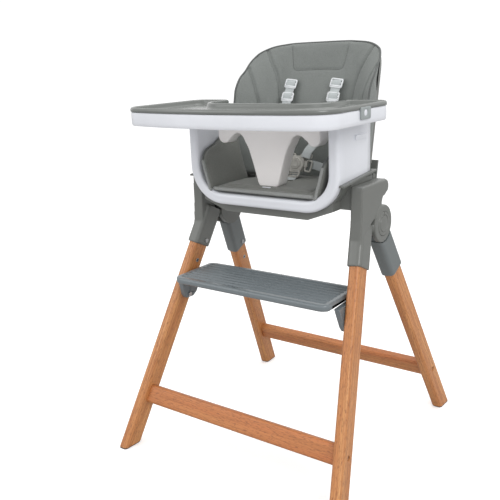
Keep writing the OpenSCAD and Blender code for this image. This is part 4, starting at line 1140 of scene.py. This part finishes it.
for s in (-1, 1):
    tipped = buckle_place @ Matrix.Rotation(math.radians(s * -8), 4, "Z")
    loop = [tipped @ Vector((s * 0.0335 + x, y, -0.0005)) for x, y in rounded(0.0150, 0.0260, 0.0035)]
    prongs.append(tube(loop, 0.0023, closed=True, sides=10))
    neck = rounded(0.016, 0.015, 0.003, s * 0.0215, 0.0)
    prongs.append(prism(neck, -0.0026, 0.0022, buckle_place))
    top_loop = [buckle_place @ Vector((s * 0.0230 + x, 0.0195 + y, -0.0005))
                for x, y in rounded(0.0300, 0.0080, 0.0030)]
    prongs.append(tube(top_loop, 0.0019, closed=True, sides=10))
tongues = settled(one_mesh("buckle_prongs", prongs), 50)
made(tongues, buckle_grey, "buckle_plastic", "frame", "buckle_tongues")


# ---- Studio ----
# White paper floor, a broad soft light overhead to the left and a weaker one on
# the right, and the camera at the seated child's height to the right of the chair.

cam_data = bpy.data.cameras.new("camera")
cam = bpy.data.objects.new("camera", cam_data)
scene.collection.objects.link(cam)
az, pitch, tilt = math.radians(36.17), math.radians(-15.48), math.radians(-2.28)
ahead = Vector((-math.sin(az) * math.cos(pitch), math.cos(az) * math.cos(pitch), math.sin(pitch)))
right = ahead.cross(Vector((0, 0, 1))).normalized()
up = right.cross(ahead)
right, up = (math.cos(tilt) * right + math.sin(tilt) * up, -math.sin(tilt) * right + math.cos(tilt) * up)
cam_place = Matrix.Translation((0.8785, -1.3628, 0.9239))
cam.matrix_world = cam_place @ Matrix((right, up, -ahead)).transposed().to_4x4()
cam_data.sensor_width = 36
cam_data.lens = 49.64
scene.camera = cam

paper, tree, b = shader("paper", 0.9)
seen = add(tree, "ShaderNodeLightPath").outputs["Is Camera Ray"]
grained = blended(tree, noise(tree, object_coords(tree), 40, 3), (0.93, 0.93, 0.93), (0.95, 0.95, 0.95))
tree.links.new(blended(tree, seen, (0.5, 0.5, 0.5), grained), b.inputs["Base Color"])
b.inputs["Emission Color"].default_value = (1, 1, 1, 1)
tree.links.new(between(tree, seen, 0, 1, 0.0, 0.28), b.inputs["Emission Strength"])
bpy.ops.mesh.primitive_plane_add(size=40, location=(0, 0, -0.0002))
floor = bpy.context.object
floor.name = "floor"
floor.data.materials.append(paper)


def lamp(name, place, target, size, power):
    data = bpy.data.lights.new(name, "AREA")
    data.size = size
    data.energy = power
    o = bpy.data.objects.new(name, data)
    o.location = place
    o.rotation_mode = "QUATERNION"
    o.rotation_quaternion = (Vector(target) - Vector(place)).to_track_quat("-Z", "Y")
    scene.collection.objects.link(o)


lamp("key", (2.4, -1.5, 2.3), (0, 0, 0.6), 1.6, 36)
lamp("fill", (-1.8, -2.2, 1.9), (0, 0, 0.6), 1.8, 14)
lamp("top", (0.2, 0.6, 3.0), (0, 0, 0.6), 2.2, 18)
world = bpy.data.worlds.new("world")
scene.world = world
world.use_nodes = True
backdrop = world.node_tree.nodes["Background"]
seen = add(world.node_tree, "ShaderNodeLightPath").outputs["Is Camera Ray"]
world.node_tree.links.new(between(world.node_tree, seen, 0, 1, 0.90, 1.05), backdrop.inputs["Strength"])
backdrop.inputs["Color"].default_value = (1, 1, 1, 1)
scene.view_settings.view_transform = "Standard"
